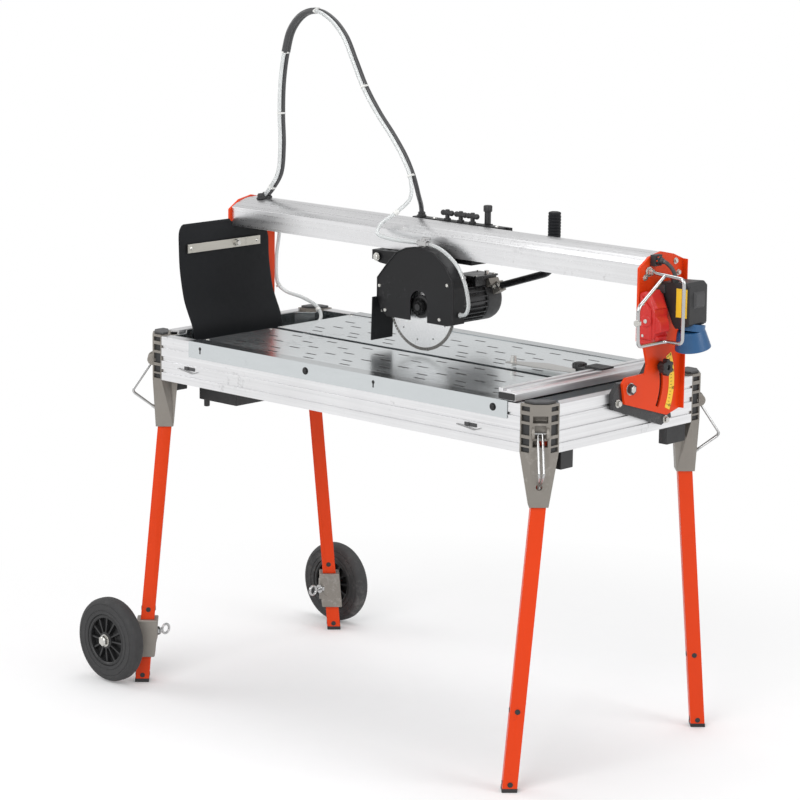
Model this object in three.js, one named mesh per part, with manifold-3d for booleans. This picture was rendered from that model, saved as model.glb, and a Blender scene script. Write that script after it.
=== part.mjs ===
// Wet tile saw: a tilting bridge with a sliding saw head over a water table on four legs.
// Millimetres, +Z up. +X runs along the bridge to the switch end, +Y to the back.
import * as THREE from 'three';
import { mergeVertices } from 'three/addons/utils/BufferGeometryUtils.js';
import { ConvexGeometry } from 'three/addons/geometries/ConvexGeometry.js';
import Module from 'manifold-3d';

const wasm = await Module();
wasm.setup();

// ---- driving dimensions ----
const SHIFT_X = -9;            // moves the middle of the bounding box onto the origin
const GAP = 0.4;              // clearance between neighbouring parts
const FRAME_L = 1214;
const FRAME_W = 567;
const RAIL_T = 28;
const RAIL_TOP = 825;
const RAIL_BOT = 722;
const CORNER = 58;            // how far a corner casting reaches along each rail
const FLAT = 28;              // its 45 degree truncation
const LEG = 32;
const LEG_WALL = 3;
const LEG_TOP = 812;
const LEG_X = 574;            // leg centre where it leaves the casting
const LEG_Y = 250;
const SOCKET_BOT = 607;
const LEAN = 0.125;           // sideways splay of the legs per unit of height
const TABLE_TOP = 826;
const BOARD_T = 3;
const SLOT_Y = -15;           // the blade plane
const PIVOT_Z = 831;          // tilt axis of the bridge
const BEAM_X = 619.6;
const BEAM_Y0 = 12;
const BEAM_Y1 = 150;
const BEAM_Z0 = 1049;
const BEAM_Z1 = 1094;
const BEAM_RISE = 20;
const PLATE_X = 620;
const PLATE_T = 6;
const SLOT_R = 106;           // radius of the tilt slot
const HINGE_X = -115;         // plunge axis of the saw head
const HINGE_Z = 1033;
const ARBOR_X = 25;
const ARBOR_Z = 935;
const BLADE_R = 100;
const MOTOR_R = 52;
const WHEEL_R = 100;
const WHEEL_X = -621;
const WHEEL_Y = 381;
const WHEEL_Z = 103;

// ---- materials ----
const finish = (color, roughness, metalness) => () =>
  new THREE.MeshStandardMaterial({ color, roughness, metalness });
const aluminium = finish(0xc9cacb, 0.38, 0.9);
const casting = finish(0x8a8580, 0.55, 0.8);
const zinc = finish(0xc4ccd0, 0.3, 0.9);
const orange = finish(0xe2481c, 0.45, 0.05);
const black = finish(0x1b1c1d, 0.55, 0.05);
const rubber = finish(0x17191a, 0.85, 0);
const chrome = finish(0xd8dadc, 0.15, 1);
const steel = finish(0xb9bcbe, 0.3, 0.95);
const red = finish(0xc32a22, 0.45, 0.05);
const blue = finish(0x1c5f9e, 0.4, 0);
const clear = finish(0xd5dadb, 0.2, 0);

// ---- solids ----
const { Manifold, Mesh } = wasm;
function solid(shape) {
  if (!shape.isBufferGeometry) return shape;
  const plain = shape.clone();
  for (const extra of ['normal', 'uv']) plain.deleteAttribute(extra);
  const welded = mergeVertices(plain, 1e-4);
  return new Manifold(new Mesh({
    numProp: 3,
    vertProperties: new Float32Array(welded.attributes.position.array),
    triVerts: new Uint32Array(welded.index.array),
  }));
}
const join = (...shapes) => shapes.map(solid).reduce((a, b) => a.add(b));
const cut = (body, ...tools) => tools.map(solid).reduce((a, b) => a.subtract(b), solid(body));
function geometry(body) {
  if (body.isBufferGeometry) return body;
  const mesh = body.getMesh();
  const g = new THREE.BufferGeometry();
  g.setAttribute('position', new THREE.BufferAttribute(new Float32Array(mesh.vertProperties), 3));
  g.setIndex(new THREE.BufferAttribute(new Uint32Array(mesh.triVerts), 1));
  const flat = g.toNonIndexed();
  flat.computeVertexNormals();
  return flat;
}

const V = (x, y, z) => new THREE.Vector3(x, y, z);
const box = (x0, x1, y0, y1, z0, z1) => new THREE.BoxGeometry(x1 - x0, y1 - y0, z1 - z0)
  .translate((x0 + x1) / 2, (y0 + y1) / 2, (z0 + z1) / 2);

// Cylinder or cone between two points.
function rod(a, b, r, sides = 16, r2 = r) {
  const g = new THREE.CylinderGeometry(r2, r, a.distanceTo(b), sides);
  const turn = new THREE.Quaternion().setFromUnitVectors(V(0, 1, 0), b.clone().sub(a).normalize());
  return g.applyQuaternion(turn).translate((a.x + b.x) / 2, (a.y + b.y) / 2, (a.z + b.z) / 2);
}

// Shape with its outline counter-clockwise, so that holes are turned the right way.
function outline(points, holes = []) {
  const path = (list) => list.map(([u, v]) => new THREE.Vector2(u, v));
  const ring = path(points);
  const shape = new THREE.Shape(THREE.ShapeUtils.isClockWise(ring) ? ring.reverse() : ring);
  shape.holes = holes.map((h) => new THREE.Path(path(h)));
  return shape;
}
const extrude = (shape, depth) => new THREE.ExtrudeGeometry(shape, {
  depth, bevelEnabled: false, curveSegments: 10,
});
// Outlines drawn in plan, across the bridge (y, z) and along it (x, z).
const planSlab = (shape, z0, z1) => extrude(shape, z1 - z0).translate(0, 0, z0);
const acrossSlab = (shape, x0, x1) => extrude(shape, x1 - x0)
  .applyMatrix4(new THREE.Matrix4().makeBasis(V(0, 1, 0), V(0, 0, 1), V(1, 0, 0)))
  .translate(x0, 0, 0);
const alongSlab = (shape, y0, y1) => extrude(shape, y1 - y0)
  .applyMatrix4(new THREE.Matrix4().makeBasis(V(1, 0, 0), V(0, 0, 1), V(0, -1, 0)))
  .translate(0, y1, 0);

// Round tube along a smooth line through points, or along a bent line with rounded corners.
function sweep(curve, r, steps, sides) {
  const ring = [...Array(sides).keys()].map((i) => {
    const a = (2 * Math.PI * i) / sides;
    return [r * Math.cos(a), r * Math.sin(a)];
  });
  return new THREE.ExtrudeGeometry(outline(ring), { steps, extrudePath: curve, bevelEnabled: false });
}
const hose = (points, r, steps, sides = 8) =>
  sweep(new THREE.CatmullRomCurve3(points.map((p) => V(...p)), false, 'centripetal'), r, steps, sides);
function bentWire(points, r, bend, sides = 8) {
  const line = points.map((p) => V(...p));
  const parts = [];
  let from = line[0];
  for (let i = 1; i < line.length; i += 1) {
    const here = line[i];
    if (i === line.length - 1) {
      parts.push(new THREE.LineCurve3(from, here));
      break;
    }
    const back = from.clone().sub(here).normalize();
    const on = line[i + 1].clone().sub(here).normalize();
    const a = here.clone().addScaledVector(back, bend);
    const b = here.clone().addScaledVector(on, bend);
    parts.push(new THREE.LineCurve3(from, a), new THREE.QuadraticBezierCurve3(a, here, b));
    from = b;
  }
  const turned = parts.flatMap((p) => (p.isLineCurve3 ? [p.v1] : p.getPoints(4)));
  const stops = [turned[0], ...turned.slice(1), line[line.length - 1]]
    .filter((p, i, all) => i === 0 || p.distanceTo(all[i - 1]) > 0.05);
  return chain(stops, r, sides);
}
// Ring at each point, turned to the mean direction, with flat ends.
function chain(stops, r, sides) {
  const n = stops.length;
  const dir = stops.map((p, i) => {
    const d = V(0, 0, 0);
    if (i > 0) d.add(p.clone().sub(stops[i - 1]).normalize());
    if (i < n - 1) d.add(stops[i + 1].clone().sub(p).normalize());
    return d.normalize();
  });
  let side = V(0.31, 0.17, 0.93).cross(dir[0]).normalize();
  const verts = [];
  const faces = [];
  stops.forEach((p, i) => {
    side = side.addScaledVector(dir[i], -side.dot(dir[i])).normalize();
    const up = dir[i].clone().cross(side);
    for (let k = 0; k < sides; k += 1) {
      const a = (2 * Math.PI * k) / sides;
      const q = p.clone().addScaledVector(side, r * Math.cos(a)).addScaledVector(up, r * Math.sin(a));
      verts.push(q.x, q.y, q.z);
    }
    if (i > 0) {
      for (let k = 0; k < sides; k += 1) {
        const a = (i - 1) * sides + k;
        const b = (i - 1) * sides + ((k + 1) % sides);
        faces.push(a, b, b + sides, a, b + sides, a + sides);
      }
    }
  });
  for (let k = 1; k < sides - 1; k += 1) {
    faces.push(0, k + 1, k);
    const e = (n - 1) * sides;
    faces.push(e, e + k, e + k + 1);
  }
  const g = new THREE.BufferGeometry();
  g.setAttribute('position', new THREE.Float32BufferAttribute(verts, 3));
  g.setIndex(faces);
  return g;
}

const saw = new THREE.Group();
saw.name = 'wet_tile_saw';
function part(name, material, shape) {
  const mesh = new THREE.Mesh(geometry(shape), material());
  mesh.name = name;
  saw.add(mesh);
}

// ---- legs and corner castings ----
const CORNERS = [['front_right', 1, -1], ['front_left', -1, -1], ['back_left', -1, 1], ['back_right', 1, 1]];
// Upright square bar at a corner, turned 45 degrees and splayed; size is across its flats.
function leaning(sx, sy, size, z0, z1) {
  const h = size / Math.SQRT2;
  const bar = planSlab(outline([[h, 0], [0, h], [-h, 0], [0, -h]]), z0, z1);
  const shear = new THREE.Matrix4().set(
    1, 0, 0, sx * LEG_X,
    0, 1, -sy * LEAN, sy * (LEG_Y + LEAN * SOCKET_BOT),
    0, 0, 1, 0,
    0, 0, 0, 1,
  );
  return bar.applyMatrix4(shear);
}
const outward = (sx, sy) => V(sx, sy, 0).normalize();
const tangent = (sx, sy) => V(-sy, sx, 0).normalize();
// Centre of the truncated face of a casting.
const faceMid = (sx, sy, z) => V(sx * (FRAME_L / 2 - FLAT / 2), sy * (FRAME_W / 2 - FLAT / 2), z);
const legMid = (sx, sy, z) => V(sx * LEG_X, sy * (LEG_Y + LEAN * (SOCKET_BOT - z)), z);
// Block set square to the truncated face: n outward, t along it.
function diagonalBox(sx, sy, n0, n1, t0, t1, z0, z1) {
  const g = new THREE.BoxGeometry(n1 - n0, t1 - t0, z1 - z0);
  const m = new THREE.Matrix4().makeBasis(outward(sx, sy), tangent(sx, sy), V(0, 0, 1));
  g.applyMatrix4(m);
  const mid = faceMid(sx, sy, (z0 + z1) / 2).addScaledVector(outward(sx, sy), (n0 + n1) / 2)
    .addScaledVector(tangent(sx, sy), (t0 + t1) / 2);
  return g.translate(mid.x, mid.y, mid.z);
}

function cornerPlan(sx, sy) {
  const l = FRAME_L / 2;
  const w = FRAME_W / 2;
  const ring = [[l - CORNER, w], [l - FLAT, w], [l, w - FLAT], [l, w - CORNER],
    [l - RAIL_T, w - CORNER], [l - CORNER, w - RAIL_T]];
  return ring.map(([x, y]) => [x * sx, y * sy]);
}
const LATCH_PIN_Z = 766;
function cornerCasting(sx, sy) {
  const plan = cornerPlan(sx, sy);
  const top = TABLE_TOP + 1;
  const sleeve = leaning(sx, sy, 41, SOCKET_BOT, RAIL_BOT);
  const low = [];
  for (const [x, y] of plan) low.push(V(x, y, RAIL_BOT));
  const half = 41 / Math.SQRT2;
  const foot = legMid(sx, sy, SOCKET_BOT);
  for (const [dx, dy] of [[half, 0], [0, half], [-half, 0], [0, -half]]) {
    low.push(V(foot.x + dx, foot.y + dy, SOCKET_BOT));
  }
  let body = join(planSlab(outline(plan), RAIL_BOT - 0.01, top), new ConvexGeometry(low), sleeve,
    leaning(sx, sy, 41, RAIL_BOT - 1, LEG_TOP + 4));
  const pockets = [[812, 822], [790, 804], [761, 784], [739, 754], [724.5, 735]].flatMap(([z0, z1]) => {
    const x0 = FRAME_L / 2 - CORNER + 3;
    const y0 = FRAME_W / 2 - CORNER + 3;
    const sort = (a, b) => (a < b ? [a, b] : [b, a]);
    const xs = sort(sx * x0, sx * (x0 + 23));
    const ys = sort(sy * y0, sy * (y0 + 23));
    const yo = sort(sy * (FRAME_W / 2 - 7), sy * (FRAME_W / 2 + 1));
    const xo = sort(sx * (FRAME_L / 2 - 7), sx * (FRAME_L / 2 + 1));
    return [box(...xs, ...yo, z0, z1), box(...xo, ...ys, z0, z1)];
  });
  const out = outward(sx, sy);
  const tip = faceMid(sx, sy, 651);
  body = cut(body,
    leaning(sx, sy, LEG + 2 * GAP, SOCKET_BOT - 5, LEG_TOP + GAP),
    ...pockets,
    diagonalBox(sx, sy, -24, 4, -16, 16, 788, 803),
    diagonalBox(sx, sy, -24, 4, -16, 16, 737, 751),
    diagonalBox(sx, sy, -9, 4, -12, 12, 756, 783),
    rod(faceMid(sx, sy, LATCH_PIN_Z).addScaledVector(out, -3.5).addScaledVector(tangent(sx, sy), -16),
      faceMid(sx, sy, LATCH_PIN_Z).addScaledVector(out, -3.5).addScaledVector(tangent(sx, sy), 16), 3.3, 8),
    rod(tip.clone().addScaledVector(out, 5), tip.clone().addScaledVector(out, -16), 7, 10));
  return body;
}

function leg(sx, sy) {
  const n = outward(sx, sy);
  const holes = [17, 173].map((z) => rod(
    legMid(sx, sy, z).addScaledVector(n, -25), legMid(sx, sy, z).addScaledVector(n, 25), 5.5, 8));
  return cut(leaning(sx, sy, LEG, 0, LEG_TOP), leaning(sx, sy, LEG - 2 * LEG_WALL, 5, LEG_TOP + 5), ...holes);
}

// Doubled-wire latch: cross pin, two arms out to an elbow and back to a tip in the casting.
function latch(sx, sy) {
  const n = outward(sx, sy);
  const t = tangent(sx, sy);
  const at = (out, side, z) => faceMid(sx, sy, z).addScaledVector(n, out).addScaledVector(t, side);
  const r = 2.3;
  const pieces = [rod(at(-3.5, -15, LATCH_PIN_Z), at(-3.5, 15, LATCH_PIN_Z), 2.6, 8)];
  for (const side of [-5, 5]) {
    pieces.push(chain([at(-3.5, side, LATCH_PIN_Z), at(46, side, 690), at(47, side * 0.9, 686),
      at(44, side * 0.8, 683), at(-1, side * 0.3, 651)], r, 5));
  }
  pieces.push(rod(at(2, 0, 653.1), at(-5, 0, 648.2), 4, 8));
  return join(...pieces);
}

for (const [name, sx, sy] of CORNERS) {
  part(`corner_${name}`, casting, cornerCasting(sx, sy));
  part(`leg_${name}`, orange, leg(sx, sy));
  part(`latch_${name}`, chrome, latch(sx, sy));
}

// ---- frame rails: hollow grooved extrusions ----
function railShape(flip) {
  const t = RAIL_T;
  const ribs = [[741, 748], [768, 779], [798, 804]];
  const face = [[0, RAIL_BOT]];
  for (const [z0, z1] of ribs) face.push([0, z0], [3.5, z0], [3.5, z1], [0, z1]);
  face.push([0, RAIL_TOP]);
  const ring = [...face, [t, RAIL_TOP], [t, RAIL_BOT]];
  const hole = [[7, RAIL_BOT + 4], [t - 3, RAIL_BOT + 4], [t - 3, RAIL_TOP - 4], [7, RAIL_TOP - 4]];
  const side = ([u, v]) => [flip * (FRAME_W / 2 - u), v];
  const end = ([u, v]) => [flip * (FRAME_L / 2 - u), v];
  return { side: outline(ring.map(side), [hole.map(side)]), end: outline(ring.map(end), [hole.map(end)]) };
}
const longEnd = FRAME_L / 2 - CORNER - GAP;
const shortEnd = FRAME_W / 2 - CORNER - GAP;
for (const [name, flip] of [['front', -1], ['back', 1]]) {
  part(`${name}_rail`, aluminium, acrossSlab(railShape(flip).side, -longEnd, longEnd));
}
for (const [name, flip] of [['left', -1], ['right', 1]]) {
  const bar = alongSlab(railShape(flip).end, -shortEnd, shortEnd);
  part(`${name}_rail`, aluminium, cut(bar, leaning(flip, -1, 42, 700, RAIL_TOP + 5),
    leaning(flip, 1, 42, 700, RAIL_TOP + 5)));
}
for (const [name, sx, y0, y1] of [['front_right', 1, -212, -172], ['back_right', 1, 146, 212],
  ['front_left', -1, -212, -172], ['back_left', -1, 146, 212]]) {
  const xs = sx > 0 ? [580, 602] : [-602, -580];
  part(`foot_block_${name}`, black, box(...xs, y0, y1, 682, RAIL_BOT - GAP));
}

// ---- water tray, sump, pump and table boards ----
function trayPlan(inset) {
  const l = -575 + inset;
  const k = -540 + inset;
  const r = 538 - inset;
  const w = 252 - inset;
  const a = 180 - 0.414 * inset;
  return outline([[l, -a], [k, -a - 35], [k, -w], [r, -w], [r, w], [k, w], [k, a + 35], [l, a]]);
}
const TRAY_BOT = 745;
function waterTray() {
  let body = cut(planSlab(trayPlan(0), TRAY_BOT, 824.6), planSlab(trayPlan(2), TRAY_BOT + 2, 830));
  const x0 = -454;
  const x1 = 514;
  for (const s of [-1, 1]) {
    const hook = [[250.5, 815], [250.5, 827.4], [286, 827.4], [286, 789], [284.2, 789], [284.2, 825.5],
      [252, 825.5], [252, 815]];
    body = join(body, acrossSlab(outline(hook.map(([u, v]) => [s * u, v])), x0, x1));
    const ledge = [[236, 819.8], [236, 822.3], [251, 822.3], [251, 819.8]];
    body = join(body, acrossSlab(outline(ledge.map(([u, v]) => [s * u, v])), x0, 505));
  }
  for (const x of [-330, 30, 390]) {
    const bar = [[-251, 800], [-251, 822.3], [-62, 822.3], [-55, 790], [28, 790], [35, 822.3],
      [251, 822.3], [251, 800], [45, 778], [-70, 778]];
    body = join(body, acrossSlab(outline(bar), x - 2, x + 2));
  }
  return cut(body, box(-500, -392, -194, 34, 740, 750));
}
part('water_tray', zinc, waterTray());
part('tray_sump', black, join(
  cut(box(-508, -384, -202, 42, 672, TRAY_BOT - GAP), box(-504, -388, -198, 38, 676, 750)),
  rod(V(-494, -190, 674), V(-494, -190, 655), 7, 12)));
part('pump', black, join(
  rod(V(-446, -40, 676.5), V(-446, -40, 720), 34, 18), rod(V(-446, -40, 719), V(-446, -40, 738), 22, 14),
  rod(V(-446, -10, 712), V(-446, 12, 712), 7, 10)));
function board(y0, y1) {
  const x0 = -450;
  const x1 = 486;
  const slots = [];
  for (let i = 0; i < 8; i += 1) {
    const x = -390 + i * 113;
    const y = (y0 + y1) / 2;
    slots.push(box(x, x + 30, y - 62, y - 56, 820, 830), box(x + 55, x + 85, y + 4, y + 10, 820, 830));
  }
  return cut(box(x0, x1, y0, y1, TABLE_TOP - BOARD_T, TABLE_TOP), ...slots);
}
part('front_board', zinc, board(-250, SLOT_Y - 7));
part('back_board', zinc, board(SLOT_Y + 12, 250));

// ---- fence and angle stop ----
const fencePlan = [[488, 827.8], [488, 852], [500, 852], [500, 846], [510, 846], [510, 852], [522, 852],
  [522, 846], [534, 843], [534, 827.8]];
const fenceHole = [[492, 831.5], [492, 842], [530, 842], [530, 831.5]];
part('fence_bar', aluminium, alongSlab(outline(fencePlan, [fenceHole]), -283, 283));
const STOP_Y = 40;
const STOP_X = 440;
const STOP_Z = 828.4;
const stopRod = (z0, z1, r, sides, r2) => rod(V(STOP_X, STOP_Y, z0), V(STOP_X, STOP_Y, z1), r, sides, r2);
part('stop_slide', black, join(
  box(462, 487.6, STOP_Y - 32, STOP_Y + 32, STOP_Z, 852.4),
  box(470, 520, STOP_Y - 20, STOP_Y + 20, 852.4, 856),
  stopRod(STOP_Z, 833, 24, 20), stopRod(832, 842, 5, 12)));
function stopArm() {
  const plan = [[444, 26], [452, 34], [452, 46], [444, 54], [330, 66], [252, 28], [252, 10], [330, 10]];
  return cut(join(planSlab(outline(plan), 833.4, 836.4),
    rod(V(266, STOP_Y - 18, STOP_Z), V(266, STOP_Y - 18, 850), 7, 12)), stopRod(820, 840, 5.5, 12));
}
part('stop_arm', steel, stopArm());
part('stop_knob', black, cut(join(stopRod(836.8, 842, 9, 14), stopRod(841.5, 856, 13, 20, 15)),
  stopRod(830, 843, 5.5, 12)));

// ---- tilt mounts at the two ends of the frame; side is +1 or -1 along X ----
function polar(r, deg) {
  const a = (deg * Math.PI) / 180;
  return [SLOT_Y + r * Math.cos(a), PIVOT_Z + r * Math.sin(a)];
}
const LOCK = polar(SLOT_R, 20.3);
const endSlab = (side, shape, x0, x1) => (side > 0 ? acrossSlab(shape, x0, x1) : acrossSlab(shape, -x1, -x0));
const endRod = (side, [y, z], x0, x1, r, sides) => rod(V(side * x0, y, z), V(side * x1, y, z), r, sides);
function tiltBase(side) {
  const ring = [[-63, 826], [-61, 790], [103, 735], [137, 748], [125, 800], [112, 884], [62, 886],
    [30, 846], [-45, 846]];
  return join(endSlab(side, outline(ring), 607.4, PLATE_X - GAP),
    endRod(side, [SLOT_Y, PIVOT_Z], 612, 632, 8, 18), endRod(side, [SLOT_Y, PIVOT_Z], 627, 634, 12, 6),
    endRod(side, LOCK, 612, 644, 4.5, 12),
    endRod(side, [-48, 803], 612, 625, 6, 6), endRod(side, [117, 746], 612, 625, 6, 6));
}
function tiltKnob(side) {
  const lobes = [0, 60, 120].map((a) => {
    const t = (a * Math.PI) / 180;
    return new THREE.BoxGeometry(14, 37, 13).rotateX(t).translate(side * 643, LOCK[0], LOCK[1]);
  });
  return cut(join(endRod(side, LOCK, 627, 640, 11, 16), endRod(side, LOCK, 636, 650, 15, 18), ...lobes),
    endRod(side, LOCK, 620, 645, 5, 14));
}
for (const [name, side] of [['right', 1], ['left', -1]]) {
  part(`tilt_base_${name}`, black, tiltBase(side));
  part(`tilt_knob_${name}`, black, tiltKnob(side));
}

// ---- wheels on the two legs away from the switch ----
function wheelClamp(sy) {
  const at = (x, y, z) => V(x, sy * y, z);
  const ys = sy > 0 ? [298, 334] : [-334, -298];
  const ring = new THREE.TorusGeometry(11, 2.6, 5, 12).rotateY(Math.PI / 2).translate(-574, sy * 250, 112);
  return join(cut(join(leaning(-1, sy, 50, 62, 150), box(-636, -586, ...ys, 84, 122)),
    leaning(-1, sy, LEG + 2 * GAP, 55, 155)),
  rod(at(WHEEL_X, 312, WHEEL_Z), at(WHEEL_X, 358, WHEEL_Z), 15, 16),
  rod(at(WHEEL_X, 350, WHEEL_Z), at(WHEEL_X, 408, WHEEL_Z), 8, 16),
  rod(at(WHEEL_X, 401, WHEEL_Z), at(WHEEL_X, 411, WHEEL_Z), 13, 6),
  rod(at(-574, 284, 112), at(-574, 260, 112), 4, 8), rod(at(-574, 284, 112), at(-574, 270, 112), 8, 6), ring);
}
function turned(profile, sides, y) {
  const g = new THREE.LatheGeometry(profile.map(([r, v]) => new THREE.Vector2(r, v)), sides);
  return g.translate(WHEEL_X, y, 0).translate(0, 0, WHEEL_Z);
}
function tyre(sy) {
  const ring = [[61.4, -19], [92, -19], [100, -8], [100, 8], [92, 19], [61.4, 19], [61.4, -19]];
  return turned(ring, 32, sy * WHEEL_Y);
}
function hub(sy) {
  const ring = [[8.6, -19], [20, -19], [20, -7], [52, -7], [52, -17], [61, -17], [61, 17], [52, 17],
    [52, 7], [20, 7], [20, 19], [8.6, 19], [8.6, -19]];
  return turned(ring, 20, sy * WHEEL_Y);
}
for (const [name, sy] of [['front', -1], ['back', 1]]) {
  part(`wheel_clamp_${name}`, casting, wheelClamp(sy));
  part(`wheel_hub_${name}`, black, hub(sy));
  part(`wheel_tyre_${name}`, rubber, tyre(sy));
}

// ---- bridge: beam, end plates, splash flap ----
function beamShape() {
  const mid = (BEAM_Y0 + BEAM_Y1) / 2;
  const arch = (inset, n) => [...Array(n + 1).keys()].map((i) => {
    const u = 1 - (2 * i) / n;
    const half = (BEAM_Y1 - BEAM_Y0) / 2 - inset;
    return [mid + half * u, BEAM_Z1 - inset + BEAM_RISE * (1 - u * u)];
  });
  const ring = [[BEAM_Y0, BEAM_Z0], [BEAM_Y1, BEAM_Z0], ...arch(0, 10)];
  const hole = [[BEAM_Y0 + 4, BEAM_Z0 + 4], [BEAM_Y1 - 4, BEAM_Z0 + 4], ...arch(4, 8)];
  return outline(ring, [hole]);
}
part('bridge_beam', aluminium, acrossSlab(beamShape(), -BEAM_X, BEAM_X));
function endPlate(side) {
  const ring = [[5, 1088], [5, 932], [30, 912], [41, 876], [36, 858], [-32, 857], [-42, 846],
    [-33, 800], [113, 757], [157, 768], [157, 1094], [122, 1108], [80, 1117], [38, 1109]];
  const arc = [];
  for (let i = 0; i <= 10; i += 1) arc.push(polar(SLOT_R + 5.2, 23.3 - 5.18 * i));
  for (let i = 10; i >= 0; i -= 1) arc.push(polar(SLOT_R - 5.2, 23.3 - 5.18 * i));
  return cut(join(endSlab(side, outline(ring), PLATE_X, PLATE_X + PLATE_T),
    endSlab(side, outline([[153.5, 768], [157, 768], [157, 1094], [153.5, 1095]]), PLATE_X, 638)),
  endSlab(side, outline(arc), PLATE_X - 5, PLATE_X + 12),
  endRod(side, [SLOT_Y, PIVOT_Z], PLATE_X - 5, PLATE_X + 12, 8.5, 18));
}
part('end_plate_right', orange, join(endPlate(1), rod(V(PLATE_X + 2, 52, 1102), V(644, 52, 1102), 9, 12)));
part('end_plate_left', orange, endPlate(-1));
function splashFlap() {
  const sheet = [[-619.4, 1068], [-619.4, 965], [-603.5, 889], [-572.4, 827], [-570, 786], [-566, 786],
    [-568.3, 828], [-599.5, 890.5], [-615.4, 965.5], [-615.4, 1068]];
  const view = [[-160, 780], [-164, 1040], [-150, 1067], [6, 1067], [8, 1046], [118, 1046],
    [134, 1020], [134, 780]];
  const bent = solid(alongSlab(outline(sheet), -170, 150));
  return bent.intersect(solid(acrossSlab(outline(view), -640, -560)));
}
part('splash_flap', rubber, splashFlap());
part('flap_strip', steel, join(
  box(-615, -611.6, -139, 99, 997, 1018), endRod(-1, [20, 1008], 608, 613, 7, 6)));

// ---- switch group on the outer face of the right end plate ----
const SIDE_X = PLATE_X + PLATE_T + GAP;
const switchPlan = [[SIDE_X, 1050], [643, 1056], [708, 1060], [717, 1052], [718, 972], [712, 966], [680, 958],
  [672, 968], [645, 1028], [SIDE_X, 1028]];
part('switch_box', black, alongSlab(outline(switchPlan), 62, 124));
const mountPlan = [[SIDE_X, 926], [SIDE_X, 1036], [640, 1040], [652, 1032], [666, 998], [666, 942],
  [654, 926]];
part('junction_box', red, alongSlab(outline(mountPlan), 8, 56));
function powerInlet() {
  const skirt = [[0, 0], [29, 0], [31, -7.5], [39, -41.5], [35.5, -41.5], [27.5, -9.5], [0, -9.5]];
  const shell = new THREE.LatheGeometry(skirt.map(([r, v]) => new THREE.Vector2(r, -v)), 20);
  const shape = shell.rotateX(-Math.PI / 2);
  const pins = [90, 210, 330].map((a) => {
    const x = 14 * Math.cos((a * Math.PI) / 180);
    const y = 14 * Math.sin((a * Math.PI) / 180);
    return rod(V(x, y, -7.5), V(x, y, -33.5), 2.6, 6);
  });
  return join(shape, ...pins.map(solid)).rotate(12, 0, 0).translate(700, 97, 949);
}
part('power_inlet', blue, powerInlet());
part('wire_guard', chrome, join(
  bentWire([[SIDE_X, 35, 1078], [722, 35, 1072], [722, 35, 934], [674, 35, 934], [674, -54, 933],
    [674, -57, 1016], [672, 33, 1074]], 4, 9, 6),
  rod(V(SIDE_X, 35, 1078), V(631, 35, 1078), 9, 12)));
part('switch_lead', rubber, hose([[645.4, 52, 1102], [656, 53, 1100], [666, 60, 1090], [671, 68, 1074],
  [671, 70, 1059.6]], 4.5, 8, 8));

// ---- carriage on the beam ----
function tKnob(x, y) {
  return join(rod(V(x, y, 1107), V(x, y, 1122), 4, 8), rod(V(x - 13, y, 1124), V(x + 13, y, 1124), 5.5, 8));
}
part('carriage', black, join(
  box(-150, 126, 138, 162, 1103, 1108), box(-150, 135, 152, 162, 1036, 1108),
  box(-150, 135, 24, 160, 1036, 1044),
  box(-150, -96, 3.5, 26, 1022, 1044), rod(V(HINGE_X, 24, HINGE_Z), V(HINGE_X, -18, HINGE_Z), 6, 16),
  rod(V(HINGE_X, 24, HINGE_Z), V(HINGE_X, 3.5, HINGE_Z), 12.5, 16),
  rod(V(HINGE_X, -15, HINGE_Z), V(HINGE_X, -19, HINGE_Z), 9, 6),
  tKnob(-52, 150), tKnob(-11, 150), tKnob(25, 150),
  box(46, 64, 158, 176, 1036, 1044), box(46, 64, 158, 176, 1098, 1108),
  rod(V(55, 168, 1026), V(55, 168, 1142), 4, 10), rod(V(55, 168, 1136), V(55, 168, 1150), 9, 12)));

// ---- saw head: motor, guard, handle and water valve ----
function motor() {
  const at = (y) => V(ARBOR_X, y, ARBOR_Z);
  const fins = [];
  for (let i = 0; i < 18; i += 1) {
    for (const [r, step] of [[46, 0], [51.5, 0.12], [51.5, 0.38], [46, 0.5]]) {
      const a = ((i + step) * Math.PI) / 9;
      fins.push([ARBOR_X + r * Math.cos(a), ARBOR_Z + r * Math.sin(a)]);
    }
  }
  return cut(join(rod(at(6), at(44), 50, 20), alongSlab(outline(fins), 40, 152),
    rod(at(150), at(205), MOTOR_R, 20),
    box(8, 66, 118, 190, 970, 992), rod(V(55, 168, 990), V(55, 168, 999), 5, 8),
    box(-10, 14, 6, 60, 970, 1008),
    new THREE.BoxGeometry(22, 20, 20).rotateY(-0.5).translate(75, 180, 962)),
  rod(at(0), at(26), 13.2, 16), rod(at(200), at(208), 40, 16));
}
part('motor', black, motor());
const GUARD_Y0 = -36;
const GUARD_Y1 = 2;
function guardShape(inset) {
  const ring = [[-95, 944], [-95, 990], [-62, 1028], [-36, 1054], [-8, 1066], [20, 1071], [48, 1070],
    [76, 1062], [112, 1036], [132, 1008], [136, 990], [136, 908], [120, 904], [-66, 904], [-84, 918]];
  const mid = [22, 985];
  return outline(ring.map(([x, z]) => {
    const d = Math.hypot(x - mid[0], z - mid[1]);
    return [x + ((mid[0] - x) * inset) / d, z + ((mid[1] - z) * inset) / d];
  }));
}
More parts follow.
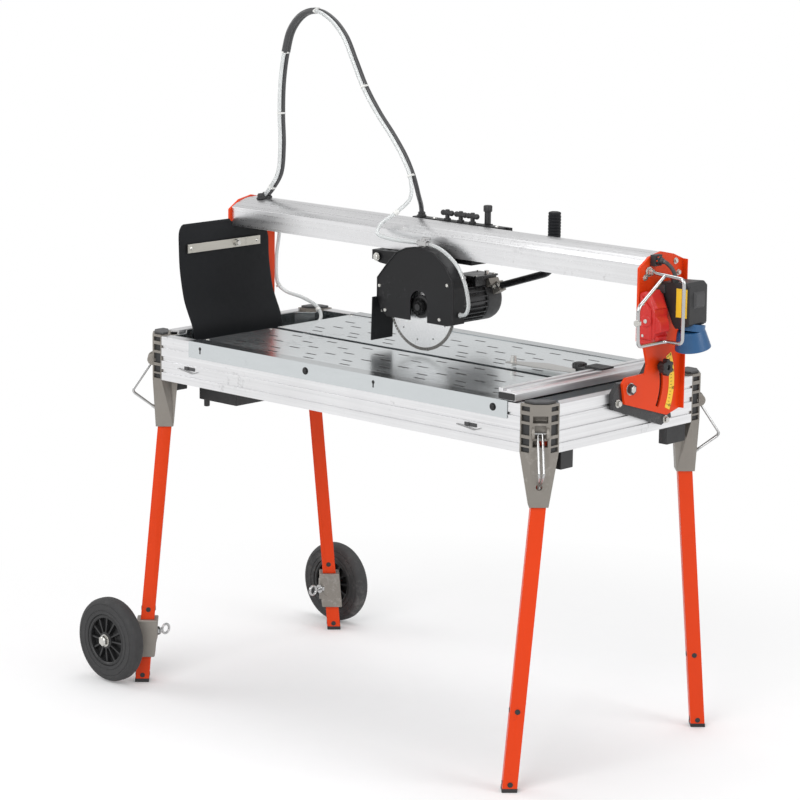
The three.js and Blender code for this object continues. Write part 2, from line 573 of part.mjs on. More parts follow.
function bladeGuard() {
  const hollow = alongSlab(guardShape(5), GUARD_Y0 + 3, GUARD_Y1 - 3);
  const arch = [...Array(9).keys()].map((i) => {
    const a = (Math.PI * i) / 8;
    return [ARBOR_X + 7 + 26 * Math.cos(a), 948 + 26 * Math.sin(a)];
  });
  const notch = outline([[ARBOR_X + 33, 900], ...arch, [ARBOR_X - 19, 900]]);
  const lug = outline([[-128, 1024], [-122, 1044], [-108, 1047], [-50, 1050], [-60, 1015], [-108, 1019]]);
  return cut(join(cut(alongSlab(guardShape(0), GUARD_Y0, GUARD_Y1), hollow,
    box(-90, 131, GUARD_Y0 + 3, GUARD_Y1 - 3, 890, 960), alongSlab(notch, GUARD_Y0 - 2, GUARD_Y0 + 6),
    rod(V(ARBOR_X, -5, ARBOR_Z), V(ARBOR_X, 8, ARBOR_Z), 30, 24)),
  alongSlab(lug, -13, 1.6)),
  rod(V(HINGE_X, -20, HINGE_Z), V(HINGE_X, 10, HINGE_Z), 6.5, 16));
}
part('blade_guard', black, bladeGuard());
part('head_flap', rubber, alongSlab(outline([[-99, 946], [-95.5, 946], [-98.5, 846], [-102, 846]]), -50, 20));
part('arbor', steel, join(
  rod(V(ARBOR_X, -24, ARBOR_Z), V(ARBOR_X, 24, ARBOR_Z), 12.5, 16),
  rod(V(ARBOR_X, -22, ARBOR_Z), V(ARBOR_X, -16.8, ARBOR_Z), 26, 20),
  rod(V(ARBOR_X, -13.2, ARBOR_Z), V(ARBOR_X, -7, ARBOR_Z), 26, 20),
  rod(V(ARBOR_X, -31, ARBOR_Z), V(ARBOR_X, -23, ARBOR_Z), 15, 6)));
part('blade', steel, cut(
  rod(V(ARBOR_X, SLOT_Y - 1.2, ARBOR_Z), V(ARBOR_X, SLOT_Y + 1.2, ARBOR_Z), BLADE_R, 40),
  rod(V(ARBOR_X, -20, ARBOR_Z), V(ARBOR_X, -10, ARBOR_Z), 13.1, 16)));
part('handle', black, join(
  bentWire([[87, 180, 969], [228, 180, 1014], [243, 180, 1040], [243, 180, 1150]], 8, 14, 12),
  rod(V(243, 180, 1084), V(243, 180, 1154), 14, 16)));
part('water_valve', steel, join(
  box(16, 44, -28, -10, 1073.4, 1086), rod(V(30, -19, 1084), V(30, -19, 1094), 4, 10),
  rod(V(12, -19, 1079), V(48, -19, 1079), 6, 10),
  bentWire([[46, -19, 1079], [98, -19, 1064], [140, -19, 1030], [162, -19, 988], [168, -19, 936],
    [137.6, -19, 930]], 4, 10, 6)));

// ---- cable, water hose and feed hose ----
const loopXZ = [[-570, 1121], [-552, 1140], [-526, 1178], [-518, 1242], [-521, 1321], [-518, 1398],
  [-506, 1466], [-487, 1520], [-449, 1557], [-404, 1568], [-358, 1552], [-315, 1515], [-282, 1459],
  [-248, 1400], [-206, 1346], [-159, 1296], [-121, 1249], [-98, 1208]];
const loop = (y) => loopXZ.map(([x, z]) => [x, y, z]);
part('power_cable', rubber, hose([...loop(84), [-108, 112, 1162], [-130, 146, 1130],
  [-132, 150, 1109.2]], 5.5, 42, 8));
part('water_hose', clear, hose([...loop(72), [-88, 62, 1162], [-104, 34, 1130], [-124, 4, 1104],
  [-118, -14, 1086], [-80, -18, 1079], [-30, -19, 1078], [11.4, -19, 1079]], 4.5, 58, 8));
part('feed_hose', clear, hose([[-446, -40, 742], [-447, -30, 764], [-458, 40, 784], [-476, 140, 798],
  [-496, 192, 824], [-520, 199, 845], [-558, 190, 862], [-602, 176, 874], [-620, 168, 892], [-624, 166, 950],
  [-612, 164, 1020], [-604, 153, 1044]], 4.5, 32, 8));

saw.children.forEach((mesh) => mesh.geometry.translate(SHIFT_X, 0, 0));
export default saw;
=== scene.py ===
import math

import bmesh
import bpy
from bpy.props import FloatProperty, FloatVectorProperty, IntProperty, PointerProperty
from mathutils import Matrix, Vector


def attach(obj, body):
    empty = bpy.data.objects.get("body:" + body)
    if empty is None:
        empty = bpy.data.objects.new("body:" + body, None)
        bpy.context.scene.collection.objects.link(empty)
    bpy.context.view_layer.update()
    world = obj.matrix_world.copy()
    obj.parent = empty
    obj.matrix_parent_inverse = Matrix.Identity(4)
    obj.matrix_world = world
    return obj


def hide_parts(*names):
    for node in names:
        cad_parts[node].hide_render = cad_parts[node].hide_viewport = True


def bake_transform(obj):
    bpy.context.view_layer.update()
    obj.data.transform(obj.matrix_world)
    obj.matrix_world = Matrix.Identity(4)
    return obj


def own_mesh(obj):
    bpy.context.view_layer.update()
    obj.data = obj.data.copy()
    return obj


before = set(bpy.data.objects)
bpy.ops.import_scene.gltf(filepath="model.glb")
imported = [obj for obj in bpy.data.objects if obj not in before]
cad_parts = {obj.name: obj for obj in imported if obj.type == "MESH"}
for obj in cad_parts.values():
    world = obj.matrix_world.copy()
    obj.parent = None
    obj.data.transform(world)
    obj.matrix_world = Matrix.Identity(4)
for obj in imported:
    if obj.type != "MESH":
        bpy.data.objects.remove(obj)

bl_info = {
    "name": "Wet tile saw",
    "version": (1, 0, 0),
    "blender": (4, 5, 0),
    "location": "3D View > Sidebar > Tile saw",
    "description": "Finishes and detail pieces for a bridge tile saw with a water table",
    "category": "Object",
}

# The saw's own sizes are in millimetres from the middle of its frame; the row's origin lies SHIFT along X.
SHIFT = -9
# How far a leg leans outwards for each millimetre down, and the height where it leaves its socket.
LEAN = 0.125
SOCKET = 607
# Places in a side view, as (y or x, height): the tilt pivot and lock stud, and the blade's arbor.
PIVOT = (-15, 831)
LOCK = (84.4, 867.8)
ARBOR = (25, 935)
# The middle of a wheel, as (x, distance from the middle line, height).
WHEEL = (-621, 381, 103)
CAMERA_AT = (4576.5, -5003.0, 2072.7)
CAMERA_TURN = (42.79, -11.33, 0.68)
CAMERA_LENS = 136.92
CABLE_RADIUS = 5.5
HOSE_RADIUS = 4.5
CORNERS = {"front_right": (1, -1), "front_left": (-1, -1), "back_left": (-1, 1), "back_right": (1, 1)}
LOOP = [(-570, 1121), (-552, 1140), (-526, 1178), (-518, 1242), (-521, 1321), (-518, 1398), (-506, 1466),
        (-487, 1520), (-449, 1557), (-404, 1568), (-358, 1552), (-315, 1515), (-282, 1459), (-248, 1400),
        (-206, 1346), (-159, 1296), (-121, 1249), (-98, 1208)]


def mm(x, y, z):
    """A point given in millimetres from the frame's middle, in metres in the row frame."""
    return Vector(((x + SHIFT) / 1000, y / 1000, z / 1000))


# ---------------------------------------------------------------- node groups and materials

def group_shell(name, inputs, outputs):
    """An empty shader group with its sockets, or the one already built."""
    if name in bpy.data.node_groups:
        return bpy.data.node_groups[name], None, None
    tree = bpy.data.node_groups.new(name, "ShaderNodeTree")
    for label, kind, value in inputs:
        s = tree.interface.new_socket(name=label, in_out="INPUT", socket_type=kind)
        s.default_value = value
    for label, kind in outputs:
        tree.interface.new_socket(name=label, in_out="OUTPUT", socket_type=kind)
    return tree, tree.nodes.new("NodeGroupInput"), tree.nodes.new("NodeGroupOutput")


def math_node(tree, operation, a, b=None, clamp=False):
    n = tree.nodes.new("ShaderNodeMath")
    n.operation, n.use_clamp = operation, clamp
    for i, v in enumerate((a, b)):
        if v is None:
            continue
        if isinstance(v, (int, float)):
            n.inputs[i].default_value = v
        else:
            tree.links.new(v, n.inputs[i])
    return n.outputs[0]


def noise(tree, vector, scale, detail=4.0, rough=0.55):
    n = tree.nodes.new("ShaderNodeTexNoise")
    tree.links.new(vector, n.inputs["Vector"])
    if isinstance(scale, (int, float)):
        n.inputs["Scale"].default_value = scale
    else:
        tree.links.new(scale, n.inputs["Scale"])
    n.inputs["Detail"].default_value = detail
    n.inputs["Roughness"].default_value = rough
    return n.outputs["Fac"]


def scaled_color(tree, color, value):
    n = tree.nodes.new("ShaderNodeVectorMath")
    n.operation = "SCALE"
    tree.links.new(color, n.inputs[0])
    tree.links.new(value, n.inputs["Scale"])
    return n.outputs[0]


def grain_group():
    """Uneven tone, uneven gloss and a fine raised grain."""
    tree, gin, gout = group_shell("surface_grain", [
        ("Color", "NodeSocketColor", (0.5, 0.5, 0.5, 1)), ("Grain Scale", "NodeSocketFloat", 600.0),
        ("Tone Shift", "NodeSocketFloat", 0.1), ("Roughness", "NodeSocketFloat", 0.5),
        ("Gloss Shift", "NodeSocketFloat", 0.1)],
        [("Color", "NodeSocketColor"), ("Roughness", "NodeSocketFloat"), ("Height", "NodeSocketFloat")])
    if gin is None:
        return tree
    at = tree.nodes.new("ShaderNodeTexCoord").outputs["Object"]
    fine = noise(tree, at, gin.outputs["Grain Scale"], 5.0)
    broad = noise(tree, at, 9.0, 3.0)
    mid = noise(tree, at, 70.0, 4.0, 0.65)
    mix = math_node(tree, "ADD", math_node(tree, "MULTIPLY", broad, 0.5), math_node(tree, "MULTIPLY", mid, 0.3))
    mix = math_node(tree, "ADD", mix, math_node(tree, "MULTIPLY", fine, 0.2))
    swing = math_node(tree, "MULTIPLY", math_node(tree, "SUBTRACT", mix, 0.5), 4.0)
    tone = math_node(tree, "ADD", math_node(tree, "MULTIPLY", swing, gin.outputs["Tone Shift"]), 1.0)
    tree.links.new(scaled_color(tree, gin.outputs["Color"], tone), gout.inputs["Color"])
    gloss = math_node(tree, "MULTIPLY", math_node(tree, "SUBTRACT", mid, 0.5), 3.0)
    gloss = math_node(tree, "MULTIPLY", gloss, gin.outputs["Gloss Shift"])
    tree.links.new(math_node(tree, "ADD", gloss, gin.outputs["Roughness"], True), gout.inputs["Roughness"])
    tree.links.new(fine, gout.inputs["Height"])
    return tree


def drawn_group():
    """Long faint lines that a die leaves along an extrusion; Stretch is small along the length."""
    tree, gin, gout = group_shell("drawn_lines", [
        ("Color", "NodeSocketColor", (0.7, 0.7, 0.7, 1)), ("Stretch", "NodeSocketVector", (1.0, 1.0, 1.0)),
        ("Tone Shift", "NodeSocketFloat", 0.1), ("Roughness", "NodeSocketFloat", 0.35),
        ("Gloss Shift", "NodeSocketFloat", 0.1)],
        [("Color", "NodeSocketColor"), ("Roughness", "NodeSocketFloat"), ("Height", "NodeSocketFloat")])
    if gin is None:
        return tree
    at = tree.nodes.new("ShaderNodeTexCoord").outputs["Object"]
    move = tree.nodes.new("ShaderNodeVectorMath")
    move.operation = "MULTIPLY"
    tree.links.new(at, move.inputs[0])
    tree.links.new(gin.outputs["Stretch"], move.inputs[1])
    line = noise(tree, move.outputs[0], 1.0, 3.0, 0.7)
    patch = noise(tree, at, 6.0, 4.0)
    spots = noise(tree, at, 160.0, 3.0, 0.7)
    swing = math_node(tree, "SUBTRACT", math_node(tree, "ADD", line, math_node(tree, "MULTIPLY", patch, 0.6)), 0.8)
    tone = math_node(tree, "ADD", math_node(tree, "MULTIPLY", swing, gin.outputs["Tone Shift"]), 1.0)
    tree.links.new(scaled_color(tree, gin.outputs["Color"], tone), gout.inputs["Color"])
    rough = math_node(tree, "ADD", math_node(tree, "MULTIPLY", line, 0.7), math_node(tree, "MULTIPLY", spots, 0.5))
    rough = math_node(tree, "MULTIPLY", math_node(tree, "SUBTRACT", rough, 0.6), gin.outputs["Gloss Shift"])
    tree.links.new(math_node(tree, "ADD", rough, gin.outputs["Roughness"], True), gout.inputs["Roughness"])
    tree.links.new(line, gout.inputs["Height"])
    return tree


def scuff_group():
    """A mask of small rubbed spots and short scratches."""
    tree, gin, gout = group_shell("scuffs", [
        ("Amount", "NodeSocketFloat", 0.3), ("Scale", "NodeSocketFloat", 40.0)], [("Mask", "NodeSocketFloat")])
    if gin is None:
        return tree
    at = tree.nodes.new("ShaderNodeTexCoord").outputs["Object"]
    a = noise(tree, at, gin.outputs["Scale"], 6.0, 0.75)
    b = noise(tree, at, 5.0, 2.0)
    both = math_node(tree, "MULTIPLY", a, b)
    edge = math_node(tree, "SUBTRACT", both, math_node(tree, "SUBTRACT", 0.5, gin.outputs["Amount"]))
    tree.links.new(math_node(tree, "MULTIPLY", edge, 9.0, True), gout.inputs["Mask"])
    return tree


def start_material(name, metallic=0.0, coat=0.0, ior=1.5):
    m = bpy.data.materials.new(name)
    m.use_nodes = True
    tree = m.node_tree
    shader = tree.nodes["Principled BSDF"]
    shader.inputs["Metallic"].default_value = metallic
    shader.inputs["Coat Weight"].default_value = coat
    shader.inputs["IOR"].default_value = ior
    return m, tree, shader


def wear_in(tree, color, worn, amount, scale):
    """Mixes a worn colour in through the scuff mask."""
    g = tree.nodes.new("ShaderNodeGroup")
    g.node_tree = scuff_group()
    g.inputs["Amount"].default_value = amount
    g.inputs["Scale"].default_value = scale
    mix = tree.nodes.new("ShaderNodeMix")
    mix.data_type = "RGBA"
    tree.links.new(g.outputs["Mask"], mix.inputs["Factor"])
    tree.links.new(color, mix.inputs[6])
    mix.inputs[7].default_value = worn
    return mix.outputs[2]


def bump_in(tree, shader, height, strength, depth):
    b = tree.nodes.new("ShaderNodeBump")
    b.inputs["Strength"].default_value = strength
    b.inputs["Distance"].default_value = depth
    tree.links.new(height, b.inputs["Height"])
    tree.links.new(b.outputs["Normal"], shader.inputs["Normal"])


def grained(name, color, rough, metallic=0.0, scale=600.0, tone=0.1, gloss=0.1, bump=0.3, depth=0.0002,
            worn=None, amount=0.2, scuff_scale=45.0, coat=0.0, sheen=0.5):
    """Painted, moulded and cast finishes."""
    m, tree, shader = start_material(name, metallic, coat)
    shader.inputs["Specular IOR Level"].default_value = sheen
    g = tree.nodes.new("ShaderNodeGroup")
    g.node_tree = grain_group()
    for label, value in (("Color", (*color, 1)), ("Grain Scale", scale), ("Tone Shift", tone),
                         ("Roughness", rough), ("Gloss Shift", gloss)):
        g.inputs[label].default_value = value
    out = g.outputs["Color"]
    if worn is not None:
        out = wear_in(tree, out, (*worn, 1), amount, scuff_scale)
    tree.links.new(out, shader.inputs["Base Color"])
    tree.links.new(g.outputs["Roughness"], shader.inputs["Roughness"])
    bump_in(tree, shader, g.outputs["Height"], bump, depth)
    return m


def drawn(name, color, rough, stretch, tone=0.15, gloss=0.15, bump=0.15, metallic=1.0):
    """Rolled and extruded metal."""
    m, tree, shader = start_material(name, metallic)
    g = tree.nodes.new("ShaderNodeGroup")
    g.node_tree = drawn_group()
    for label, value in (("Color", (*color, 1)), ("Stretch", stretch), ("Tone Shift", tone),
                         ("Roughness", rough), ("Gloss Shift", gloss)):
        g.inputs[label].default_value = value
    out = wear_in(tree, g.outputs["Color"], (*[c * 0.72 for c in color], 1), 0.16, 90.0)
    tree.links.new(out, shader.inputs["Base Color"])
    tree.links.new(g.outputs["Roughness"], shader.inputs["Roughness"])
    bump_in(tree, shader, g.outputs["Height"], bump, 0.0001)
    return m


def blade_steel(name):
    """Steel with turning rings round the arbor."""
    m, tree, shader = start_material(name, 1.0)
    at = tree.nodes.new("ShaderNodeTexCoord").outputs["Object"]
    place = tree.nodes.new("ShaderNodeMapping")
    place.inputs["Location"].default_value = -mm(ARBOR[0], -15, ARBOR[1])
    tree.links.new(at, place.inputs["Vector"])
    size = tree.nodes.new("ShaderNodeVectorMath")
    size.operation = "LENGTH"
    tree.links.new(place.outputs[0], size.inputs[0])
    ring = tree.nodes.new("ShaderNodeTexWave")
    ring.wave_type, ring.rings_direction = "RINGS", "SPHERICAL"
    ring.inputs["Scale"].default_value = 260.0
    ring.inputs["Distortion"].default_value = 1.5
    ring.inputs["Detail"].default_value = 3.0
    tree.links.new(place.outputs[0], ring.inputs["Vector"])
    ramp = tree.nodes.new("ShaderNodeValToRGB")
    ramp.color_ramp.elements[0].position, ramp.color_ramp.elements[1].position = 0.2, 0.9
    ramp.color_ramp.elements[0].color = (0.80, 0.80, 0.81, 1)
    ramp.color_ramp.elements[1].color = (0.94, 0.94, 0.94, 1)
    tree.links.new(ring.outputs["Fac"], ramp.inputs["Fac"])
    color = wear_in(tree, ramp.outputs["Color"], (0.66, 0.66, 0.66, 1), 0.14, 120.0)
    tree.links.new(color, shader.inputs["Base Color"])
    rough = math_node(tree, "ADD", math_node(tree, "MULTIPLY", ring.outputs["Fac"], 0.12), 0.24)
    tree.links.new(rough, shader.inputs["Roughness"])
    bump_in(tree, shader, ring.outputs["Fac"], 0.1, 0.0001)
    return m


def clear_hose(name):
    """Milky translucent hose wall."""
    m, tree, shader = start_material(name, 0.0, 0.2, 1.45)
    g = tree.nodes.new("ShaderNodeGroup")
    g.node_tree = grain_group()
    for label, value in (("Color", (0.78, 0.80, 0.80, 1)), ("Grain Scale", 400.0), ("Tone Shift", 0.12),
                         ("Roughness", 0.2), ("Gloss Shift", 0.08)):
        g.inputs[label].default_value = value
    tree.links.new(g.outputs["Color"], shader.inputs["Base Color"])
    tree.links.new(g.outputs["Roughness"], shader.inputs["Roughness"])
    shader.inputs["Transmission Weight"].default_value = 0.45
    return m


def studio_floor(name, color):
    """Matt white paper that runs out into plain white away from the saw."""
    m, tree, shader = start_material(name)
    g = tree.nodes.new("ShaderNodeGroup")
    g.node_tree = grain_group()
    for label, value in (("Color", (*color, 1)), ("Grain Scale", 30.0), ("Tone Shift", 0.01),
                         ("Roughness", 0.7), ("Gloss Shift", 0.05)):
        g.inputs[label].default_value = value
    tree.links.new(g.outputs["Color"], shader.inputs["Base Color"])
    tree.links.new(g.outputs["Roughness"], shader.inputs["Roughness"])
    shader.inputs["Specular IOR Level"].default_value = 0.15
    at = tree.nodes.new("ShaderNodeTexCoord").outputs["Object"]
    size = tree.nodes.new("ShaderNodeVectorMath")
    size.operation = "LENGTH"
    tree.links.new(at, size.inputs[0])
    away = math_node(tree, "MULTIPLY", math_node(tree, "SUBTRACT", size.outputs["Value"], 0.55), 0.9, True)
    white = tree.nodes.new("ShaderNodeEmission")
    blend = tree.nodes.new("ShaderNodeMixShader")
    tree.links.new(away, blend.inputs["Fac"])
    tree.links.new(shader.outputs[0], blend.inputs[1])
    tree.links.new(white.outputs[0], blend.inputs[2])
    tree.links.new(blend.outputs[0], tree.nodes["Material Output"].inputs["Surface"])
    return m


def make_materials(s):
    """Every finish of the saw, by the name its pieces use."""
    silver = tuple(s.aluminium_color)
    zinc = tuple(s.zinc_color)
    orange = tuple(s.paint_color)
    return {
        "rail_x": drawn("rail_aluminium_long", silver, 0.34, (1.5, 210.0, 210.0), 0.34, 0.3, 0.3),
        "rail_y": drawn("rail_aluminium_cross", silver, 0.34, (210.0, 1.5, 210.0), 0.34, 0.3, 0.3),
        "beam": drawn("beam_aluminium", tuple(c * 0.98 for c in silver), 0.3, (1.2, 260.0, 260.0), 0.4, 0.3, 0.3),
        "casting": grained("sand_cast_aluminium", (0.27, 0.25, 0.225), 0.5, 0.7, 900.0, 0.14, 0.2, 0.5, 0.0003,
                           (0.38, 0.36, 0.33), 0.17, 60.0),
        # The tray and the boards share one zinc colour: the tray takes a darker copy as painted shade, and the boards a
        # lighter copy as painted light.
        "zinc": drawn("zinc_sheet", tuple(c * 0.84 for c in zinc), 0.2, (14.0, 60.0, 60.0), 0.08, 0.12, 0.04),
        "board": drawn("board_zinc_painted_light", tuple(min(1, c * 1.12) for c in zinc), 0.24, (14.0, 60.0, 60.0), 0.08, 0.12, 0.03),
        "dark_steel": grained("blued_steel", (0.035, 0.035, 0.036), 0.34, 0.6, 900.0, 0.3, 0.2, 0.2, 0.0001),
        "orange": grained("orange_powder_coat", orange, 0.38, 0.0, 1400.0, 0.05, 0.12, 0.2, 0.00015,
                          (0.52, 0.03, 0.008), 0.12, 70.0, 0.0, 0.22),
        "black_paint": grained("black_satin_paint", (0.010, 0.010, 0.011), 0.4, 0.0, 1100.0, 0.3, 0.2, 0.3, 0.0002,
                               (0.05, 0.05, 0.052), 0.17, 80.0, 0.0, 0.26),
        "black_cast": grained("black_cast_metal", (0.055, 0.055, 0.057), 0.3, 0.6, 700.0, 0.35, 0.25, 0.5, 0.0003,
                              (0.10, 0.10, 0.10), 0.2, 90.0),
        # Black moulded plastic, also used as painted shade over the casting pockets.
        "black_plastic": grained("black_moulding_and_painted_shade", (0.018, 0.018, 0.019), 0.5, 0.0, 1600.0, 0.2, 0.15, 0.35, 0.00015,
                                 (0.045, 0.045, 0.045), 0.12, 60.0),
        "grey_plastic": grained("dark_grey_moulding", (0.05, 0.05, 0.052), 0.5, 0.0, 1500.0, 0.2, 0.15, 0.3, 0.00015),
        "rubber": grained("rubber_sheet", (0.009, 0.0098, 0.0115), 0.5, 0.0, 500.0, 0.2, 0.15, 0.2, 0.0002,
                          (0.03, 0.03, 0.031), 0.1, 30.0, 0.0, 0.18),
        "tyre": grained("tyre_rubber", (0.035, 0.035, 0.036), 0.72, 0.0, 900.0, 0.3, 0.2, 0.4, 0.0003,
                        (0.085, 0.083, 0.08), 0.2, 50.0),
        "cable": grained("cable_sheath", (0.05, 0.05, 0.052), 0.4, 0.0, 800.0, 0.2, 0.2, 0.2, 0.0001),
        "wire": grained("zinc_plated_wire", (0.50, 0.50, 0.50), 0.13, 1.0, 1200.0, 0.12, 0.1, 0.1, 0.0001,
                        (0.34, 0.33, 0.32), 0.16, 90.0),
        "steel": drawn("bright_steel", (0.62, 0.61, 0.59), 0.3, (400.0, 60.0, 400.0), 0.12, 0.15, 0.1),
        "strip": drawn("strip_steel", (0.55, 0.53, 0.48), 0.4, (500.0, 6.0, 500.0), 0.2, 0.2, 0.1),
        "fastener": grained("plated_fastener", (0.62, 0.61, 0.58), 0.28, 1.0, 1500.0, 0.15, 0.2, 0.2, 0.0001),
        "red": grained("red_moulding", (0.56, 0.018, 0.014), 0.36, 0.0, 1500.0, 0.12, 0.12, 0.25, 0.00015,
                       (0.70, 0.09, 0.07), 0.14, 60.0),
        "blue": grained("blue_moulding", (0.016, 0.085, 0.21), 0.38, 0.0, 1500.0, 0.12, 0.12, 0.25, 0.00015,
                        (0.04, 0.15, 0.30), 0.14, 60.0),
        "yellow": grained("yellow_foil", (0.86, 0.55, 0.03), 0.35, 0.0, 700.0, 0.06, 0.1, 0.08, 0.0001),
        # Black for printed marks, also used as painted shade in the board and flange slots.
        "print_and_shade": grained("black_print_and_painted_shade", (0.012, 0.012, 0.012), 0.45, 0.0, 900.0, 0.2, 0.1, 0.1, 0.0001),
        "tie": grained("white_nylon", (0.72, 0.72, 0.70), 0.35, 0.0, 1200.0, 0.06, 0.1, 0.15, 0.0001),
        "clear": clear_hose("clear_hose_wall"),
        "blade": blade_steel("blade_steel"),
        "diamond": grained("diamond_rim", (0.19, 0.185, 0.175), 0.6, 0.7, 1500.0, 0.5, 0.25, 0.9, 0.0004),
    }


MATERIALS = {}


# ---------------------------------------------------------------- shaping helpers

def add_box(bm, x0, x1, y0, y1, z0, z1):
    lo, hi = mm(x0, y0, z0), mm(x1, y1, z1)
    size = hi - lo
    return bmesh.ops.create_cube(bm, size=1.0, matrix=Matrix.Translation((lo + hi) / 2) @ Matrix.Diagonal((*size, 1)))


def add_rod(bm, a, b, r, sides=32, r2=None):
    """A round, or with few sides a hexagonal, bar between two points in millimetres."""
    a, b = mm(*a), mm(*b)
    turn = (b - a).to_track_quat("Z", "Y").to_matrix().to_4x4()
    return bmesh.ops.create_cone(bm, cap_ends=True, cap_tris=False, segments=sides, radius1=r / 1000,
                                 radius2=(r if r2 is None else r2) / 1000, depth=(b - a).length,
                                 matrix=Matrix.Translation((a + b) / 2) @ turn)


def add_ball(bm, at, r, squash=(1, 1, 1), rings=10):
    return bmesh.ops.create_uvsphere(bm, u_segments=2 * rings, v_segments=rings, radius=r / 1000,
                                     matrix=Matrix.Translation(mm(*at)) @ Matrix.Diagonal((*squash, 1)))


def add_turned(bm, profile, at, axis, steps=64, closed=True):
    """Spins a profile of (radius, distance along axis) points about the axis."""
    axis = Vector(axis).normalized()
    side = axis.orthogonal().normalized()
    centre = mm(*at)
    verts = [bm.verts.new(centre + side * (r / 1000) + axis * (v / 1000)) for r, v in profile]
    edges = [bm.edges.new((verts[i], verts[i + 1])) for i in range(len(verts) - 1)]
    if closed:
        edges.append(bm.edges.new((verts[-1], verts[0])))
    bmesh.ops.spin(bm, geom=verts + edges, cent=centre, axis=axis, angle=2 * math.pi, steps=steps,
                   use_merge=True, use_normal_flip=False, use_duplicate=False)


def add_slab(bm, points, offset):
    """A flat face through the given points in millimetres, thickened by an offset in millimetres."""
    face = bm.faces.new([bm.verts.new(mm(*p)) for p in points])
    out = bmesh.ops.extrude_face_region(bm, geom=[face])
    moved = [v for v in out["geom"] if isinstance(v, bmesh.types.BMVert)]
    bmesh.ops.translate(bm, verts=moved, vec=Vector(offset) / 1000)


def add_hull(bm, points):
    verts = [bm.verts.new(mm(*p)) for p in points]
    out = bmesh.ops.convex_hull(bm, input=verts)
    loose = [e for e in out["geom_interior"] + out["geom_unused"] if isinstance(e, bmesh.types.BMVert)]
    bmesh.ops.delete(bm, geom=list(set(loose)), context="VERTS")


def rounded(points, radius, steps=6):
    """The points of a bent rod: straight runs joined by arcs of about the given radius."""
    pts = [Vector(p) for p in points]
    path = [pts[0]]
    for i in range(1, len(pts) - 1):
        a, b, c = pts[i - 1], pts[i], pts[i + 1]
        r = min(radius, (b - a).length * 0.45, (c - b).length * 0.45)
        start, end = b + (a - b).normalized() * r, b + (c - b).normalized() * r
        for k in range(steps + 1):
            t = k / steps
            path.append(start * (1 - t) ** 2 + b * (2 * t * (1 - t)) + end * t ** 2)
    path.append(pts[-1])
    return path


def flowing(points, step=6.0):
    """A smooth run through every point, with a step in millimetres."""
    pts = [Vector(p) for p in points]
    pts = [pts[0] * 2 - pts[1]] + pts + [pts[-1] * 2 - pts[-2]]
    path = []
    for i in range(1, len(pts) - 2):
        p = pts[i - 1:i + 3]
        t = [0.0]
        for k in range(3):
            t.append(t[-1] + max((p[k + 1] - p[k]).length, 1e-6) ** 0.5)
        n = max(2, round((p[2] - p[1]).length / step))
        for j in range(n):
            u = t[1] + (t[2] - t[1]) * j / n
            a = [p[k] * ((t[k + 1] - u) / (t[k + 1] - t[k])) + p[k + 1] * ((u - t[k]) / (t[k + 1] - t[k]))
                 for k in range(3)]
            b = [a[k] * ((t[k + 2] - u) / (t[k + 2] - t[k])) + a[k + 1] * ((u - t[k]) / (t[k + 2] - t[k]))
                 for k in range(2)]
            path.append(b[0] * ((t[2] - u) / (t[2] - t[1])) + b[1] * ((u - t[1]) / (t[2] - t[1])))
    path.append(pts[-2])
    return path


def tube_mesh(path, r, resolution=4):
    """A mesh tube along points in millimetres, made from a curve's round bevel."""
    curve = bpy.data.curves.new("route", "CURVE")
    curve.dimensions = "3D"
    curve.twist_mode = "MINIMUM"
    spline = curve.splines.new("POLY")
    spline.points.add(len(path) - 1)
    for point, p in zip(spline.points, path):
        point.co = (*mm(*p), 1)
    curve.bevel_depth = r / 1000
    curve.bevel_resolution = resolution
    curve.use_fill_caps = True
    holder = bpy.data.objects.new("route", curve)
    bpy.context.scene.collection.objects.link(holder)
    bpy.context.view_layer.update()
    mesh = bpy.data.meshes.new_from_object(holder)
    bpy.data.objects.remove(holder)
    bpy.data.curves.remove(curve)
    mesh.materials.clear()
    return mesh


def add_tube(bm, path, r, resolution=4):
    mesh = tube_mesh(path, r, resolution)
    bm.from_mesh(mesh)
    bpy.data.meshes.remove(mesh)


def piece(name, bm, material, body=None, replaces=(), bevel=0.0, angle=35, clean=True):
    """Turns a bmesh into a finished piece of the saw."""
    if clean:
        bmesh.ops.remove_doubles(bm, verts=bm.verts, dist=1e-6)
        bmesh.ops.recalc_face_normals(bm, faces=bm.faces)
    mesh = bpy.data.meshes.new(name)
    bm.to_mesh(mesh)
    bm.free()
    for poly in mesh.polygons:
        poly.use_smooth = True
    mesh.set_sharp_from_angle(angle=math.radians(angle))
    mesh.materials.append(MATERIALS[material])
    obj = bpy.data.objects.new(name, mesh)
    bpy.context.scene.collection.objects.link(obj)
    if bevel:
        mod = obj.modifiers.new("soft_edges", "BEVEL")
        mod.width, mod.segments, mod.limit_method = bevel / 1000, 3, "ANGLE"
        mod.angle_limit = math.radians(angle)
        mod.harden_normals = True
    if body:
        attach(obj, body)
    if replaces:
        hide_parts(*replaces)
    return obj


def dress(node, material, bevel=0.0, angle=35):
    """Gives a CAD node its finish and, where asked, rounded edges."""
    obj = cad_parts[node]
    obj.data.materials.clear()
    obj.data.materials.append(MATERIALS[material])
    if bevel:
        weld = obj.modifiers.new("weld", "WELD")
        weld.merge_threshold = 2e-5
        mod = obj.modifiers.new("soft_edges", "BEVEL")
        mod.width, mod.segments, mod.limit_method = bevel / 1000, 2, "ANGLE"
        mod.angle_limit = math.radians(angle)
        mod.use_clamp_overlap = True


def hex_bolt(bm, at, axis, size=6.5, height=5.0, washer=8.5):
    """Washer and domed hexagon head standing on a face at a point in millimetres."""
    a = Vector(at)
    n = Vector(axis).normalized()
    add_rod(bm, a - n * 0.2, a + n * 1.2, washer, 28)
    add_rod(bm, a + n * 1.0, a + n * height, size, 6)
    add_rod(bm, a + n * (height - 0.4), a + n * (height + 0.7), size * 0.8, 24, size * 0.62)


